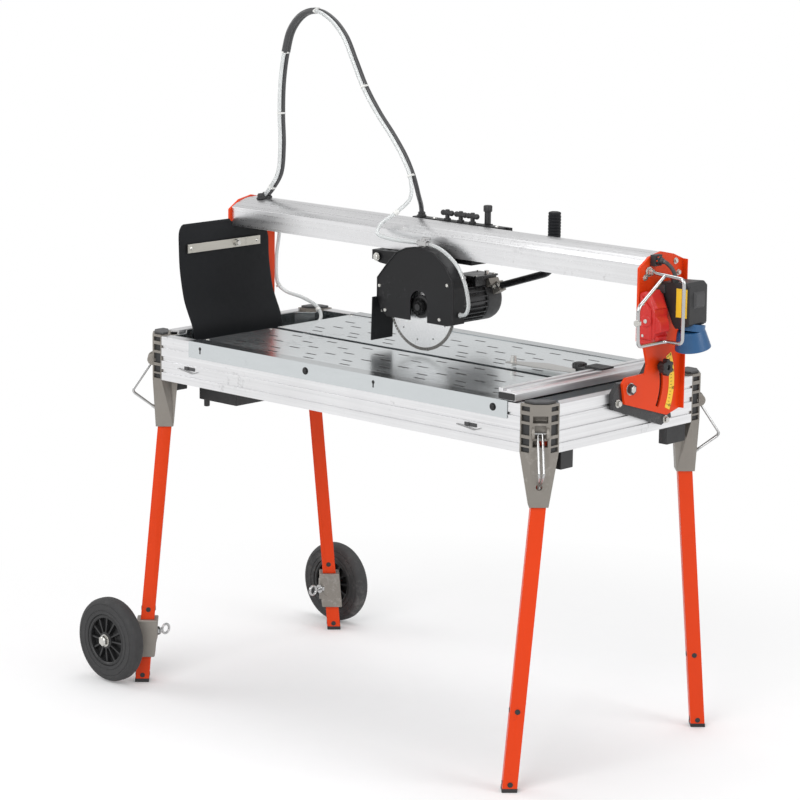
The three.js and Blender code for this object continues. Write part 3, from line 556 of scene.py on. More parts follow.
def leaning(bm, sx, sy, size, z0, z1):
    """A square bar set diagonally that follows a leg's splay."""
    h = size / math.sqrt(2)
    out = bmesh.ops.create_cone(bm, cap_ends=True, segments=4, radius1=h / 1000, radius2=h / 1000,
                                depth=(z1 - z0) / 1000)
    mid = (z0 + z1) / 2
    bmesh.ops.translate(bm, verts=out["verts"], vec=(0, 0, mid / 1000))
    for v in out["verts"]:
        z = v.co.z * 1000
        v.co += mm(sx * 574, sy * (250 + LEAN * (SOCKET - z)), 0)


def leg_mid(sx, sy, z):
    return Vector((sx * 574, sy * (250 + LEAN * (SOCKET - z)), z))


def face_mid(sx, sy, z):
    return Vector((sx * 593, sy * 269.5, z))


def polar(r, deg):
    t = math.radians(deg)
    return PIVOT[0] + r * math.cos(t), PIVOT[1] + r * math.sin(t)


# ---------------------------------------------------------------- what a user would change

class TileSawSettings(bpy.types.PropertyGroup):
    aluminium_color: FloatVectorProperty(name="Aluminium", description="Colour of the extruded rails and the beam",
                                         default=(0.80, 0.80, 0.81), subtype="COLOR", size=3, min=0, max=1)
    zinc_color: FloatVectorProperty(name="Zinc sheet", description="Colour of the tray and the table boards",
                                    default=(0.74, 0.775, 0.79), subtype="COLOR", size=3, min=0, max=1)
    paint_color: FloatVectorProperty(name="Paint", description="Colour of the legs and end plates",
                                     default=(0.70, 0.048, 0.004), subtype="COLOR", size=3, min=0, max=1)
    edge_radius: FloatProperty(name="Edge radius", description="Rounding on the edges of sheet and cast parts",
                               default=0.0008, min=0, max=0.003, unit="LENGTH", precision=4)
    rim_teeth: IntProperty(name="Rim segments", description="Diamond segments round the blade", default=84,
                           min=12, max=160)
    fin_count: IntProperty(name="Cooling fins", description="Fins round the motor body", default=26, min=8, max=48)
    floor_color: FloatVectorProperty(name="Floor", description="Colour of the studio floor",
                                     default=(0.93, 0.93, 0.935), subtype="COLOR", size=3, min=0, max=1)
    key_power: FloatProperty(name="Key light", description="Power of the large soft light", default=135.0, min=0,
                             max=2000, unit="POWER")


class TILE_SAW_OT_stage(bpy.types.Operator):
    """Builds the camera, floor, lights and world"""
    bl_idname = "tile_saw.stage"
    bl_label = "Stage"

    def execute(self, context):
        s = context.scene.tile_saw
        yaw, pitch, roll = (math.radians(v) for v in CAMERA_TURN)
        fwd = Vector((-math.sin(yaw) * math.cos(pitch), math.cos(yaw) * math.cos(pitch), math.sin(pitch)))
        right = Vector((math.cos(yaw), math.sin(yaw), 0))
        up = right.cross(fwd)
        r = right * math.cos(roll) + up * math.sin(roll)
        u = up * math.cos(roll) - right * math.sin(roll)
        data = bpy.data.cameras.new("camera")
        data.lens, data.sensor_width, data.clip_end = CAMERA_LENS, 36, 200
        data.dof.use_dof = False
        cam = bpy.data.objects.new("camera", data)
        context.scene.collection.objects.link(cam)
        basis = Matrix((r, u, -fwd)).transposed().to_4x4()
        cam.matrix_world = Matrix.Translation(mm(*CAMERA_AT)) @ basis
        context.scene.camera = cam

        bm = bmesh.new()
        bmesh.ops.create_grid(bm, x_segments=1, y_segments=1, size=60)
        mesh = bpy.data.meshes.new("floor")
        bm.to_mesh(mesh)
        bm.free()
        mesh.materials.append(studio_floor("studio_floor", tuple(s.floor_color)))
        floor = bpy.data.objects.new("floor", mesh)
        context.scene.collection.objects.link(floor)

        for name, at, size, power, color in (
                ("key", (1.2, -4.2, 3.6), 3.2, s.key_power, (1, 1, 1)),
                ("side", (4.4, 0.9, 2.4), 2.2, s.key_power * 0.42, (1, 1, 1)),
                ("left", (-4.6, -1.6, 2.6), 2.4, s.key_power * 0.35, (1, 1, 1)),
                ("top", (-0.4, 0.8, 4.6), 3.0, s.key_power * 0.5, (1, 1, 1))):
            lamp = bpy.data.lights.new(name, "AREA")
            lamp.shape, lamp.size, lamp.energy, lamp.color = "SQUARE", size, power, color
            obj = bpy.data.objects.new(name, lamp)
            obj.location = at
            obj.rotation_mode = "QUATERNION"
            obj.rotation_quaternion = (Vector((0, 0, 0.75)) - Vector(at)).to_track_quat("-Z", "Y")
            context.scene.collection.objects.link(obj)
        world = bpy.data.worlds.new("studio")
        world.use_nodes = True
        tree = world.node_tree
        ray = tree.nodes.new("ShaderNodeLightPath").outputs
        level = math_node(tree, "ADD", math_node(tree, "MULTIPLY", ray["Is Camera Ray"], 0.5), 0.5)
        level = math_node(tree, "ADD", math_node(tree, "MULTIPLY", ray["Is Glossy Ray"], 0.16), level)
        tree.nodes["Background"].inputs["Color"].default_value = (1, 1, 1, 1)
        tree.links.new(level, tree.nodes["Background"].inputs["Strength"])
        context.scene.world = world
        context.scene.view_settings.view_transform = "Standard"
        return {"FINISHED"}


def cord_piece(name, points, r, body, material, replaces, step=6.0, blend=None):
    """A round cord along a smooth route, in millimetres. Its length is the route's own."""
    path = flowing(points, step)
    bm = bmesh.new()
    add_tube(bm, path, r, 4)
    obj = piece(name, bm, material, None if blend else body, replaces, angle=60)
    if blend:
        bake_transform(obj)
    return obj


# The two bodies each of these cords runs between, with a start and an end point; nothing reads them, and a cord given
# one is left unattached.
SLIDE = ("bridge", "carriage", mm(-545, 78, 1150), mm(-110, 78, 1200))
PLUNGE = ("carriage", "head", mm(-90, -18, 1079), mm(0, -18, 1079))
HOSE_TILT = ("frame", "bridge", mm(-500, 195, 830), mm(-606, 160, 1030))


class TILE_SAW_OT_cords(bpy.types.Operator):
    """Lays the power cable, the hoses with their coupling, the ties and sleeves, and the switch lead"""
    bl_idname = "tile_saw.cords"
    bl_label = "Cable and hoses"

    def execute(self, context):
        cord_piece("motor_cable", [(x, 84, z) for x, z in LOOP] + [
            (-108, 112, 1162), (-130, 146, 1130), (-132, 150, 1109.2)], CABLE_RADIUS,
            "bridge", "cable", ["power_cable"], blend=SLIDE)
        cord_piece("blade_water_hose", [(x, 72, z) for x, z in LOOP] + [(-88, 62, 1162), (-104, 34, 1130)],
                   HOSE_RADIUS, "bridge", "clear", ["water_hose"], blend=SLIDE)
        cord_piece("tap_hose", [(-104, 34, 1130), (-124, 4, 1104), (-118, -14, 1086), (-80, -18, 1079),
                                (-30, -19, 1078), (11.4, -19, 1079)], HOSE_RADIUS, "carriage", "clear",
                   ["water_hose"], blend=PLUNGE)
        bm = bmesh.new()
        add_rod(bm, (-101.6, 38, 1133.6), (-106.4, 30, 1126.4), 5.8, 28)
        piece("hose_coupling", bm, "tie", "carriage", bevel=0.5)
        cord_piece("pump_hose", [
            (-446, -40, 742), (-447, -30, 764), (-458, 40, 784), (-476, 140, 798), (-496, 192, 824),
            (-520, 199, 845), (-558, 190, 862), (-602, 176, 874), (-620, 168, 892), (-624, 166, 950),
            (-612, 164, 1020), (-604, 153, 1044)], HOSE_RADIUS, "frame", "clear", ["feed_hose"],
            blend=HOSE_TILT)
        cord_piece("switch_cable", [(645.4, 52, 1102), (656, 53, 1100), (666, 60, 1090), (671, 68, 1074),
                                    (671, 70, 1059.6)], HOSE_RADIUS, "bridge", "cable",
                   ["switch_lead"], 2.0)
        path = flowing([(x, 78, z) for x, z in LOOP], 4.0)
        for i, (x, z) in enumerate(((-549, 1142), (-521, 1321), (-506, 1466), (-404, 1568), (-250, 1402), (-98, 1208))):
            near = min(range(1, len(path) - 1), key=lambda k: (path[k] - Vector((x, 78, z))).length)
            along = (path[near + 1] - path[near - 1]).normalized()
            across = along.cross(Vector((0, 1, 0)))
            bm = bmesh.new()
            out = bmesh.ops.create_cone(bm, cap_ends=True, segments=32, radius1=1, radius2=1, depth=1)
            shape = Matrix((across * 0.0069, Vector((0, 0.0128, 0)), along * 0.0042)).transposed().to_4x4()
            bmesh.ops.transform(bm, matrix=Matrix.Translation(mm(*path[near])) @ shape, verts=out["verts"])
            tip = path[near] + across * 6
            add_box(bm, tip.x - 2.2, tip.x + 2.2, 74, 80, tip.z - 2.2, tip.z + 2.2)
            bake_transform(piece("cable_tie_%d" % i, bm, "tie", None, bevel=0.4))
        sleeve = [p for p in path if -506 <= p.x <= -404 and p.z > 1460]
        for i, y in enumerate((73, 83)):
            bm = bmesh.new()
            add_tube(bm, [Vector((p.x, y, p.z)) for p in sleeve], 7.2, 4)
            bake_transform(piece("cable_sleeve_%d" % i, bm, "cable", None, angle=60))
        bm = bmesh.new()
        for a, b in (((-510, 198, 835), (-514, 199, 839)), ((-618, 170, 884), (-620, 169, 889))):
            add_rod(bm, a, b, 6.4, 24)
        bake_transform(piece("hose_ties", bm, "tie", None))
        return {"FINISHED"}


class TILE_SAW_OT_frame(bpy.types.Operator):
    """Finishes the rails, corner castings, foot blocks and legs"""
    bl_idname = "tile_saw.frame"
    bl_label = "Frame and legs"

    def execute(self, context):
        e = context.scene.tile_saw.edge_radius * 1000
        for n in ("front_rail", "back_rail"):
            dress(n, "rail_x", e * 0.7)
        for n in ("left_rail", "right_rail", "fence_bar"):
            dress(n, "rail_y", e * 0.7)
        for name, (sx, sy) in CORNERS.items():
            dress("corner_" + name, "casting", e * 1.1)
            dress("leg_" + name, "orange", e * 1.6)
            # Dark boxes over the casting's pockets and leg windows: painted shade for these recesses, made in the black
            # plastic material.
            bm = bmesh.new()
            for z0, z1 in ((812, 822), (790, 804), (761, 784), (739, 754), (724.5, 735)):
                for a, b in ((552.8, 574.2), (229.3, 250.7)):
                    if a > 500:
                        add_box(bm, *sorted((sx * a, sx * b)), *sorted((sy * 276.7, sy * 279.6)), z0 + .2, z1 - .2)
                    else:
                        add_box(bm, *sorted((sx * 600.2, sx * 603.1)), *sorted((sy * a, sy * b)), z0 + .2, z1 - .2)
            piece("pocket_shade_" + name, bm, "black_plastic", "frame", bevel=0.3)
            bm = bmesh.new()
            ring = [(553, 277), (580, 277), (601, 256), (601, 229), (583, 229), (576, 236), (560, 252), (553, 259)]
            add_slab(bm, [(sx * x, sy * y, 827.1) for x, y in ring], (0, 0, 5.5))
            piece("corner_cap_" + name, bm, "grey_plastic", "frame", bevel=1.8)
            bm = bmesh.new()
            leaning(bm, sx, sy, 33.2, 0.2, 9)
            piece("leg_end_" + name, bm, "black_plastic", "leg_" + name, bevel=1.2)
            bm = bmesh.new()
            for z in (173, 17):
                for n in (Vector((sx, sy, 0)), Vector((-sy, sx, 0))):
                    n.normalize()
                    for way in (-1, 1):
                        at = leg_mid(sx, sy, z) + n * way * 15.4
                        add_rod(bm, at, at + n * way * 1.6, 5.8, 28)
            piece("hole_plugs_" + name, bm, "black_plastic", "leg_" + name, bevel=0.5)
        for n in ("front_right", "back_right", "front_left", "back_left"):
            dress("foot_block_" + n, "black_plastic", e * 1.5)
        bm = bmesh.new()
        for x in (-470, 395):
            for s in (-1, 1):
                add_box(bm, *sorted((x, x + 34)), *sorted((s * 280.2, s * 285.2)), 757, 765)
                add_rod(bm, (x + 10, s * 284, 761), (x + 10, s * 287.5, 761), 4.5, 20)
        piece("rail_clips", bm, "grey_plastic", "frame", bevel=0.6)
        bm = bmesh.new()
        for x in (-470, 395):
            for s in (-1, 1):
                wire = [(x - 22, s * 285, 757), (x - 4, s * 287, 756), (x + 30, s * 287, 751), (x + 46, s * 285, 757)]
                add_tube(bm, rounded(wire, 6), 1.3, 3)
        piece("rail_clip_wires", bm, "wire", "frame")
        return {"FINISHED"}


class TILE_SAW_OT_latches(bpy.types.Operator):
    """Bends the four wire latches and their pivot bosses"""
    bl_idname = "tile_saw.latches"
    bl_label = "Latches"

    def execute(self, context):
        for name, (sx, sy) in CORNERS.items():
            n, t = Vector((sx, sy, 0)).normalized(), Vector((-sy, sx, 0)).normalized()

            def at(out, side, z):
                return face_mid(sx, sy, z) + n * out + t * side
            bm = bmesh.new()
            run = [at(-1, -1.6, 651), at(44, -4, 684), at(46.5, -5, 690), at(-3.5, -5, 766), at(-3.5, 5, 766),
                   at(46.5, 5, 690), at(44, 4, 684), at(-1, 1.6, 651)]
            add_tube(bm, rounded(run, 5), 2.7, 4)
            add_rod(bm, at(-3.5, -14.5, 766), at(-3.5, 14.5, 766), 2.5, 20)
            add_rod(bm, at(2, 0, 653.4), at(-5, 0, 648.2), 4, 20)
            piece("latch_wire_" + name, bm, "wire", "latch_" + name, ["latch_" + name], angle=50)
            bm = bmesh.new()
            for way in (-1, 1):
                add_rod(bm, at(-1, way * 12.4, 766), at(-1, way * 18.5, 766), 13.5, 36)
                add_rod(bm, at(-3.5, way * 18, 766), at(-3.5, way * 20.5, 766), 4.6, 20)
            piece("latch_boss_" + name, bm, "casting", "frame", bevel=1.2)
        return {"FINISHED"}


class TILE_SAW_OT_wheels(bpy.types.Operator):
    """Turns the two tyres and ribbed hubs and shapes their clamps on the legs"""
    bl_idname = "tile_saw.wheels"
    bl_label = "Wheels"

    def execute(self, context):
        x, wy, z = WHEEL
        side = [(61.4, -16), (62.6, -18.4), (69, -18.9), (70.2, -17.6), (72, -17.6), (73.2, -18.9), (84, -18.9),
                (85, -17.8), (87, -17.8), (88.2, -18.6), (93.5, -16.8), (97.4, -13.4), (99.6, -8.5), (100, -4)]
        profile = side + [(r, -v) for r, v in reversed(side)]
        rim = [(53, -15.5), (55, -17.5), (58.5, -17.5), (61.2, -15.8), (61.2, 15.8), (58.5, 17.5), (55, 17.5),
               (53, 15.5), (52, 4), (24, 3), (20.5, 5.5), (19.5, 18), (17.5, 19), (8.7, 19), (8.7, -19),
               (17.5, -19), (19.5, -18), (20.5, -5.5), (24, -3), (52, -4)]
        for name, sy in (("front", -1), ("back", 1)):
            at = (x, sy * wy, z)
            bm = bmesh.new()
            add_turned(bm, profile, at, (0, 1, 0), 96)
            piece("tyre_" + name, bm, "tyre", "wheel_" + name, ["wheel_tyre_" + name], angle=40)
            bm = bmesh.new()
            add_turned(bm, rim, at, (0, 1, 0), 72)
            for k in range(12):
                rib = bmesh.ops.create_cube(bm, size=1.0, matrix=Matrix.Diagonal((0.036, 0.026, 0.0032, 1)))
                for v in rib["verts"]:
                    if v.co.x > 0:
                        v.co.z *= 1.5
                    else:
                        v.co.y *= 1.3
                turn = Matrix.Rotation(math.radians(30 * k), 4, "Y") @ Matrix.Translation((0.0365, 0, 0))
                bmesh.ops.transform(bm, matrix=Matrix.Translation(mm(*at)) @ turn, verts=rib["verts"])
            piece("hub_" + name, bm, "black_plastic", "wheel_" + name, ["wheel_hub_" + name],
                  angle=40)

            def c(px, py, pz):
                return Vector((px, sy * py, pz))
            bm = bmesh.new()
            leaning(bm, -1, sy, 50, 62, 150)
            piece("wheel_clamp_body_" + name, bm, "casting", "leg_%s_left" % name,
                  ["wheel_clamp_" + name], bevel=3.0)
            bm = bmesh.new()
            add_hull(bm, [c(-576, 300, 72), c(-576, 300, 144), c(-600, 322, 70), c(-600, 322, 146),
                          c(-634, 330, 92), c(-634, 330, 116), c(-634, 352, 94), c(-634, 352, 114),
                          c(-608, 352, 94), c(-608, 352, 114)])
            add_rod(bm, c(x, 340, z), c(x, 361.5, z), 14, 36)
            piece("wheel_clamp_arm_" + name, bm, "casting", "leg_%s_left" % name, bevel=2.0)
            bm = bmesh.new()
            add_hull(bm, [c(-556, 300, 78), c(-556, 300, 142), c(-592, 290, 78), c(-592, 290, 142),
                          c(-567, 281, 101), c(-567, 281, 121), c(-581, 280, 101), c(-581, 280, 121)])
            piece("wheel_clamp_wing_" + name, bm, "casting", "leg_%s_left" % name, bevel=2.0)
            bm = bmesh.new()
            add_rod(bm, c(x, 350, z), c(x, 406, z), 8.4, 32)
            add_rod(bm, c(x, 400.4, z), c(x, 401.8, z), 14.5, 36)
            add_rod(bm, c(x, 401.6, z), c(x, 409.5, z), 12.6, 6)
            add_rod(bm, c(x, 409.3, z), c(x, 411, z), 10.4, 32, 8.4)
            piece("axle_" + name, bm, "fastener", "leg_%s_left" % name, bevel=0.5)
            bm = bmesh.new()
            add_rod(bm, c(-574, 283, 112), c(-574, 262, 112), 4, 24)
            add_rod(bm, c(-574, 282, 112), c(-574, 276, 112), 9, 6)
            add_rod(bm, c(-574, 275.5, 112), c(-574, 272.5, 112), 10.5, 28)
            round_wire = [2 * math.pi * k / 14 for k in range(14)]
            ring = [(11 + 3.1 * math.cos(a), 3.1 * math.sin(a)) for a in round_wire]
            add_turned(bm, ring, c(-574, 250, 112), (1, 0, 0), 40)
            piece("ring_bolt_" + name, bm, "wire", "leg_%s_left" % name, angle=50)
        return {"FINISHED"}


class TILE_SAW_OT_table(bpy.types.Operator):
    """Finishes the tray, boards, sump, pump, fence and angle stop and adds their screws"""
    bl_idname = "tile_saw.table"
    bl_label = "Table"

    def execute(self, context):
        e = context.scene.tile_saw.edge_radius * 1000
        dress("water_tray", "zinc", e * 0.5)
        dress("front_board", "board", e * 0.5)
        dress("back_board", "board", e * 0.5)
        dress("tray_sump", "black_plastic", e * 2.5)
        dress("pump", "black_plastic", e)
        dress("stop_slide", "black_plastic", e)
        dress("stop_arm", "steel", e * 0.6)
        bm = bmesh.new()
        for x in (-77, 475):
            for s in (-1, 1):
                hex_bolt(bm, (x, s * 285.8, 809), (0, s, 0), 6.4, 3.4, 8.4)
        piece("flange_screws", bm, "dark_steel", "frame", bevel=0.4)
        bm = bmesh.new()
        for x in (-440, 478):
            for y in (-238, -34, 9, 238):
                add_rod(bm, (x, y, 825.8), (x, y, 827), 4.2, 24, 3.4)
        for y in (-272, 272):
            add_rod(bm, (516, y, 846), (516, y, 849.4), 5.2, 24)
            add_rod(bm, (497, y * 1.03, 838), (497, y * 1.043, 838), 4.4, 20)
        piece("table_screws", bm, "fastener", "frame", bevel=0.3)
        # Dark keyhole shapes on the tray flanges: painted shade standing in for the dark inside of the slot openings.
        bm = bmesh.new()
        for x in (-416, 130):
            for s in (-1, 1):
                add_box(bm, x - 1.7, x + 1.7, *sorted((s * 285.3, s * 286.4)), 801, 812)
                add_rod(bm, (x, s * 285.3, 813), (x, s * 286.4, 813), 4.0, 24)
        piece("flange_slot_shade", bm, "print_and_shade", "frame")
        # Dark boxes laid over the slots in the boards: painted shade standing in for the dark inside of the slot
        # openings.
        bm = bmesh.new()
        for mid in (-136, 123.5):
            for row, first in ((-96, -362), (-59, -390), (-26, -362), (7, -335), (44, -390), (82, -348)):
                for k in range(8):
                    x = first + 113 * k
                    if x < 450:
                        add_box(bm, x, x + 30, mid + row - 3, mid + row + 3, 826.02, 826.16)
        piece("board_slot_shade", bm, "print_and_shade", "frame")
        bm = bmesh.new()
        for y in (-283.3, 283.3):
            w = 1.6 if y > 0 else -1.6
            add_box(bm, 489, 533, *sorted((y, y + w)), 829, 843)
        piece("fence_ends", bm, "black_plastic", "frame", bevel=0.6)
        bm = bmesh.new()
        knob = [(0, -4), (9, -4), (9, 1), (13, 2), (15, 4), (15.4, 9), (14, 14), (11, 15.6), (0, 16)]
        add_turned(bm, knob, (440, 40, 841.2), (0, 0, 1), 48, closed=False)
        for k in range(12):
            a = math.radians(30 * k)
            add_rod(bm, (440 + 14.6 * math.cos(a), 40 + 14.6 * math.sin(a), 844),
                    (440 + 14.2 * math.cos(a), 40 + 14.2 * math.sin(a), 855), 1.9, 10)
        piece("stop_grip", bm, "black_plastic", "stop_knob", ["stop_knob"], angle=40)
        bm = bmesh.new()
        for i in range(13):
            y = -240 + i * 40
            add_box(bm, 505.2, 505.9, y, y + 0.8, 846.0, 846.5)
        piece("fence_marks", bm, "print_and_shade", "frame")
        return {"FINISHED"}


class TILE_SAW_OT_tilt(bpy.types.Operator):
    """Finishes the tilt brackets and end plates and adds knobs, bolts and the angle scale"""
    bl_idname = "tile_saw.tilt"
    bl_label = "Tilt mounts"

    def execute(self, context):
        e = context.scene.tile_saw.edge_radius * 1000
        for name, side in (("right", 1), ("left", -1)):
            dress("tilt_base_" + name, "black_cast", e * 1.8)
            dress("end_plate_" + name, "orange", e * 0.9)
            bm = bmesh.new()
            y, z = LOCK
            add_turned(bm, [(5.4, -16), (11, -16), (11.5, -6), (15, -5), (15.6, 0), (15, 6), (12, 7.4), (5.4, 7.4)],
                       (side * 643, y, z), (side, 0, 0), 48)
            for k in range(6):
                a = math.radians(60 * k + 30)
                add_rod(bm, (side * 636.5, y + 13.5 * math.cos(a), z + 13.5 * math.sin(a)),
                        (side * 649.5, y + 13.5 * math.cos(a), z + 13.5 * math.sin(a)), 5.2, 20)
            piece("tilt_grip_" + name, bm, "black_plastic", "tilt_knob_" + name,
                  ["tilt_knob_" + name], bevel=1.0, angle=40)
            bm = bmesh.new()
            hex_bolt(bm, (side * 626, PIVOT[0], PIVOT[1]), (side, 0, 0), 8.4, 9.5, 13.5)
            piece("pivot_bolt_" + name, bm, "fastener", "frame", bevel=0.4)
            bm = bmesh.new()
            for by, bz in ((-48, 803), (117, 746)):
                hex_bolt(bm, (side * 619.4, by, bz), (side, 0, 0), 6.6, 7.2, 9.0)
            add_rod(bm, (side * 642, y, z), (side * 645.4, y, z), 4.7, 6)
            piece("base_bolts_" + name, bm, "fastener", "frame", bevel=0.4)
            bm = bmesh.new()
            for by, bz in ((24, 1066), (139, 1066), (33, 1092), (128, 1092)):
                if side > 0 and by == 33:
                    continue
                hex_bolt(bm, (side * 626, by, bz), (side, 0, 0), 5.0, 4.6, 7.0)
            piece("plate_bolts_" + name, bm, "fastener", "bridge", bevel=0.3)
        bm = bmesh.new()
        inner = [polar(132, a) for a in range(-25, 26, 2)]
        outer = [polar(150, a) for a in range(25, -26, -2)]
        add_slab(bm, [(626.05, y, z) for y, z in inner + outer], (0.5, 0, 0))
        piece("angle_scale", bm, "yellow", "bridge")
        bm = bmesh.new()
        for k in range(16):
            a = -21.5 + 3 * k
            r0 = 133 if k % 5 == 0 else 136.5
            p, q = polar(r0, a), polar(142, a)
            add_rod(bm, (626.6, *p), (626.6, *q), 0.5, 6)
        piece("angle_marks", bm, "print_and_shade", "bridge")
        for k, digits in enumerate(("45", "30", "15", "0")):
            words = bpy.data.curves.new("digits", "FONT")
            words.body, words.size, words.extrude = digits, 0.0085, 0.0002
            words.align_x, words.align_y = "CENTER", "CENTER"
            holder = bpy.data.objects.new("digits", words)
            context.scene.collection.objects.link(holder)
            context.view_layer.update()
            mesh = bpy.data.meshes.new_from_object(holder)
            bpy.data.objects.remove(holder)
            bpy.data.curves.remove(words)
            p = polar(146, -21.5 + 15 * k)
            bm = bmesh.new()
            bm.from_mesh(mesh)
            bpy.data.meshes.remove(mesh)
            facing = Matrix(((0, 0, 1), (1, 0, 0), (0, 1, 0))).to_4x4()
            bmesh.ops.transform(bm, matrix=Matrix.Translation(mm(626.75, *p)) @ facing, verts=bm.verts)
            piece("angle_number_%s" % digits, bm, "print_and_shade", "bridge")
        return {"FINISHED"}


class TILE_SAW_OT_bridge(bpy.types.Operator):
    """Finishes the beam and makes the splash flap, switch group, inlet and wire guard"""
    bl_idname = "tile_saw.bridge"
    bl_label = "Bridge"

    def execute(self, context):
        e = context.scene.tile_saw.edge_radius * 1000
        dress("bridge_beam", "beam", e)
        dress("flap_strip", "strip", e * 0.5)
        self.flap()
        self.switch()
        self.guard()
        bm = bmesh.new()
        add_turned(bm, [(5.6, 0), (13, 0), (13, 5), (10.5, 6), (10.5, 12), (8, 16), (5.6, 16)], (-574, 84, 1112),
                   (-0.15, 0, 1), 32)
        add_turned(bm, [(4.6, 0), (12, 0), (12, 4), (9.5, 5), (9.5, 10), (7, 14), (4.6, 14)], (-574, 66, 1112),
                   (-0.15, 0, 1), 32)
        piece("beam_glands", bm, "black_plastic", "bridge", bevel=0.5, angle=40)
        return {"FINISHED"}

    def flap(self):
        line = [(-619.4, 1067), (-619.3, 1040), (-618.6, 1000), (-617, 965), (-611, 925), (-602, 886), (-588, 855),
                (-575, 828), (-571.2, 806), (-570, 787)]
        path = flowing([(x, 0, z) for x, z in line], 12)
        columns = 31
        bm = bmesh.new()
        out = bmesh.ops.create_grid(bm, x_segments=len(path) - 1, y_segments=columns - 1, size=0.5)
        grid = sorted(out["verts"], key=lambda v: (round(v.co.x, 5), v.co.y))
        for i, v in enumerate(grid):
            row, col = divmod(i, columns)
            p = path[row]
            u = col / (columns - 1)
            low, high = -160 - 3.5 * min(1, max(0, (p.z - 800) / 250)), 134
            if p.z > 1046:
                high = 6
                low += (p.z - 1046) ** 2 / 21 ** 2 * 13
            elif p.z > 1018:
                high = 134 - 16 * (p.z - 1018) / 28
            y = low + (high - low) * u
            bulge = 3.0 * math.sin(math.pi * u) * min(1, max(0, (960 - p.z) / 120)) * (p.z - 786) / 180
            v.co = mm(p.x + max(bulge, 0), y, p.z)
        obj = piece("splash_sheet", bm, "rubber", None, ["splash_flap"], angle=60)
        thick = obj.modifiers.new("thickness", "SOLIDIFY")
        thick.thickness, thick.offset = 0.0035, 0
        smooth = obj.modifiers.new("smooth", "SUBSURF")
        smooth.levels = smooth.render_levels = 1
        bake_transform(obj)
        bm = bmesh.new()
        add_rod(bm, (-612, 20, 1008), (-607.5, 20, 1008), 8.2, 28)
        add_rod(bm, (-608, 20, 1008), (-602.5, 20, 1008), 6.2, 6)
        for y in (-128, 88):
            add_rod(bm, (-612, y, 1008), (-609.8, y, 1008), 4.2, 20, 2.6)
        piece("flap_bolts", bm, "fastener", "bridge", bevel=0.3)

    def switch(self):
        dress("switch_box", "black_plastic", 3.0, 25)
        dress("junction_box", "red", 3.0, 25)
        bm = bmesh.new()
        add_box(bm, 682, 711, 61.3, 62.2, 984, 1046)
        piece("switch_plate", bm, "yellow", "bridge", bevel=0.4)
        bm = bmesh.new()
        add_box(bm, 628, 652, 58.5, 63, 1032, 1050)
        add_hull(bm, [(717, 76, 1040), (717, 112, 1040), (717, 76, 1004), (717, 112, 1004),
                      (722.5, 80, 1034), (722.5, 108, 1034), (722.5, 80, 1010), (722.5, 108, 1010)])
        add_box(bm, 641, 714, 123.6, 126.4, 968, 1052)
        for z in (1050, 976):
            add_rod(bm, (705, 61.4, z), (705, 63, z), 3.2, 20)
        piece("switch_trim", bm, "grey_plastic", "bridge", bevel=1.2)
        bm = bmesh.new()
        add_hull(bm, [(664, 12, 992), (664, 52, 992), (664, 12, 950), (664, 52, 950),
                      (676, 16, 978), (676, 46, 978), (679, 16, 956), (679, 46, 956)])
        add_hull(bm, [(640, 8, 1036), (640, 50, 1036), (660, 8, 1000), (660, 50, 1000),
                      (670, 14, 1006), (670, 44, 1006), (650, 12, 1042), (650, 46, 1042)])
        add_hull(bm, [(630, 8, 1034), (660, 8, 1004), (662, 8, 936), (630, 8, 936),
                      (634, 3.5, 1028), (656, 3.5, 1000), (658, 3.5, 940), (634, 3.5, 940)])
        add_rod(bm, (648, 1.5, 978), (648, 5, 978), 12.5, 32, 14)
        add_hull(bm, [(664, 14, 948), (664, 50, 948), (664, 14, 930), (664, 50, 930),
                      (671, 18, 944), (671, 46, 944), (671, 18, 932), (671, 46, 932)])
        piece("switch_paddle", bm, "red", "bridge", bevel=2.0)
        bm = bmesh.new()
        add_rod(bm, (648, 0.4, 978), (648, 2.4, 978), 4.6, 24)
        add_rod(bm, (640, 2.2, 946), (640, 4.2, 946), 3.2, 20)
        add_rod(bm, (640, 2.4, 1014), (640, 4.4, 1014), 3.2, 20)
        piece("paddle_screws", bm, "fastener", "bridge", bevel=0.3)
        lean = Vector((0, math.sin(math.radians(12)), -math.cos(math.radians(12))))
        top = Vector((696, 98, 955))
        bm = bmesh.new()
        add_turned(bm, [(0, 0), (24, 0), (29, 0.5), (31.5, 8), (39, 41.5), (37, 41.5), (29.6, 11), (27.5, 3), (0, 3)],
                   top, lean, 64, closed=False)
        for k in range(3):
            a = math.radians(90 + 120 * k)
            at = top + Vector((14 * math.cos(a), 14 * math.sin(a) * math.cos(math.radians(12)),
                               14 * math.sin(a) * math.sin(math.radians(12))))
            add_rod(bm, at + lean * 2, at + lean * 33, 2.7, 20)
        add_rod(bm, top + Vector((0, 3, 12)), top + lean * 3, 29, 40, 29)
        piece("inlet_shroud", bm, "blue", "bridge", ["power_inlet"], bevel=0.6, angle=40)
        bm = bmesh.new()
        add_box(bm, 626.2, 640, 40, 64, 1090, 1114)
        add_rod(bm, (638, 52, 1102), (646, 52, 1102), 10, 6)
        add_rod(bm, (645.5, 52, 1102), (653, 52.6, 1101), 7.6, 28, 5.6)
        add_rod(bm, (671, 69.6, 1068), (671, 70, 1056), 8.4, 28)
        piece("switch_gland", bm, "black_plastic", "bridge", bevel=0.9)

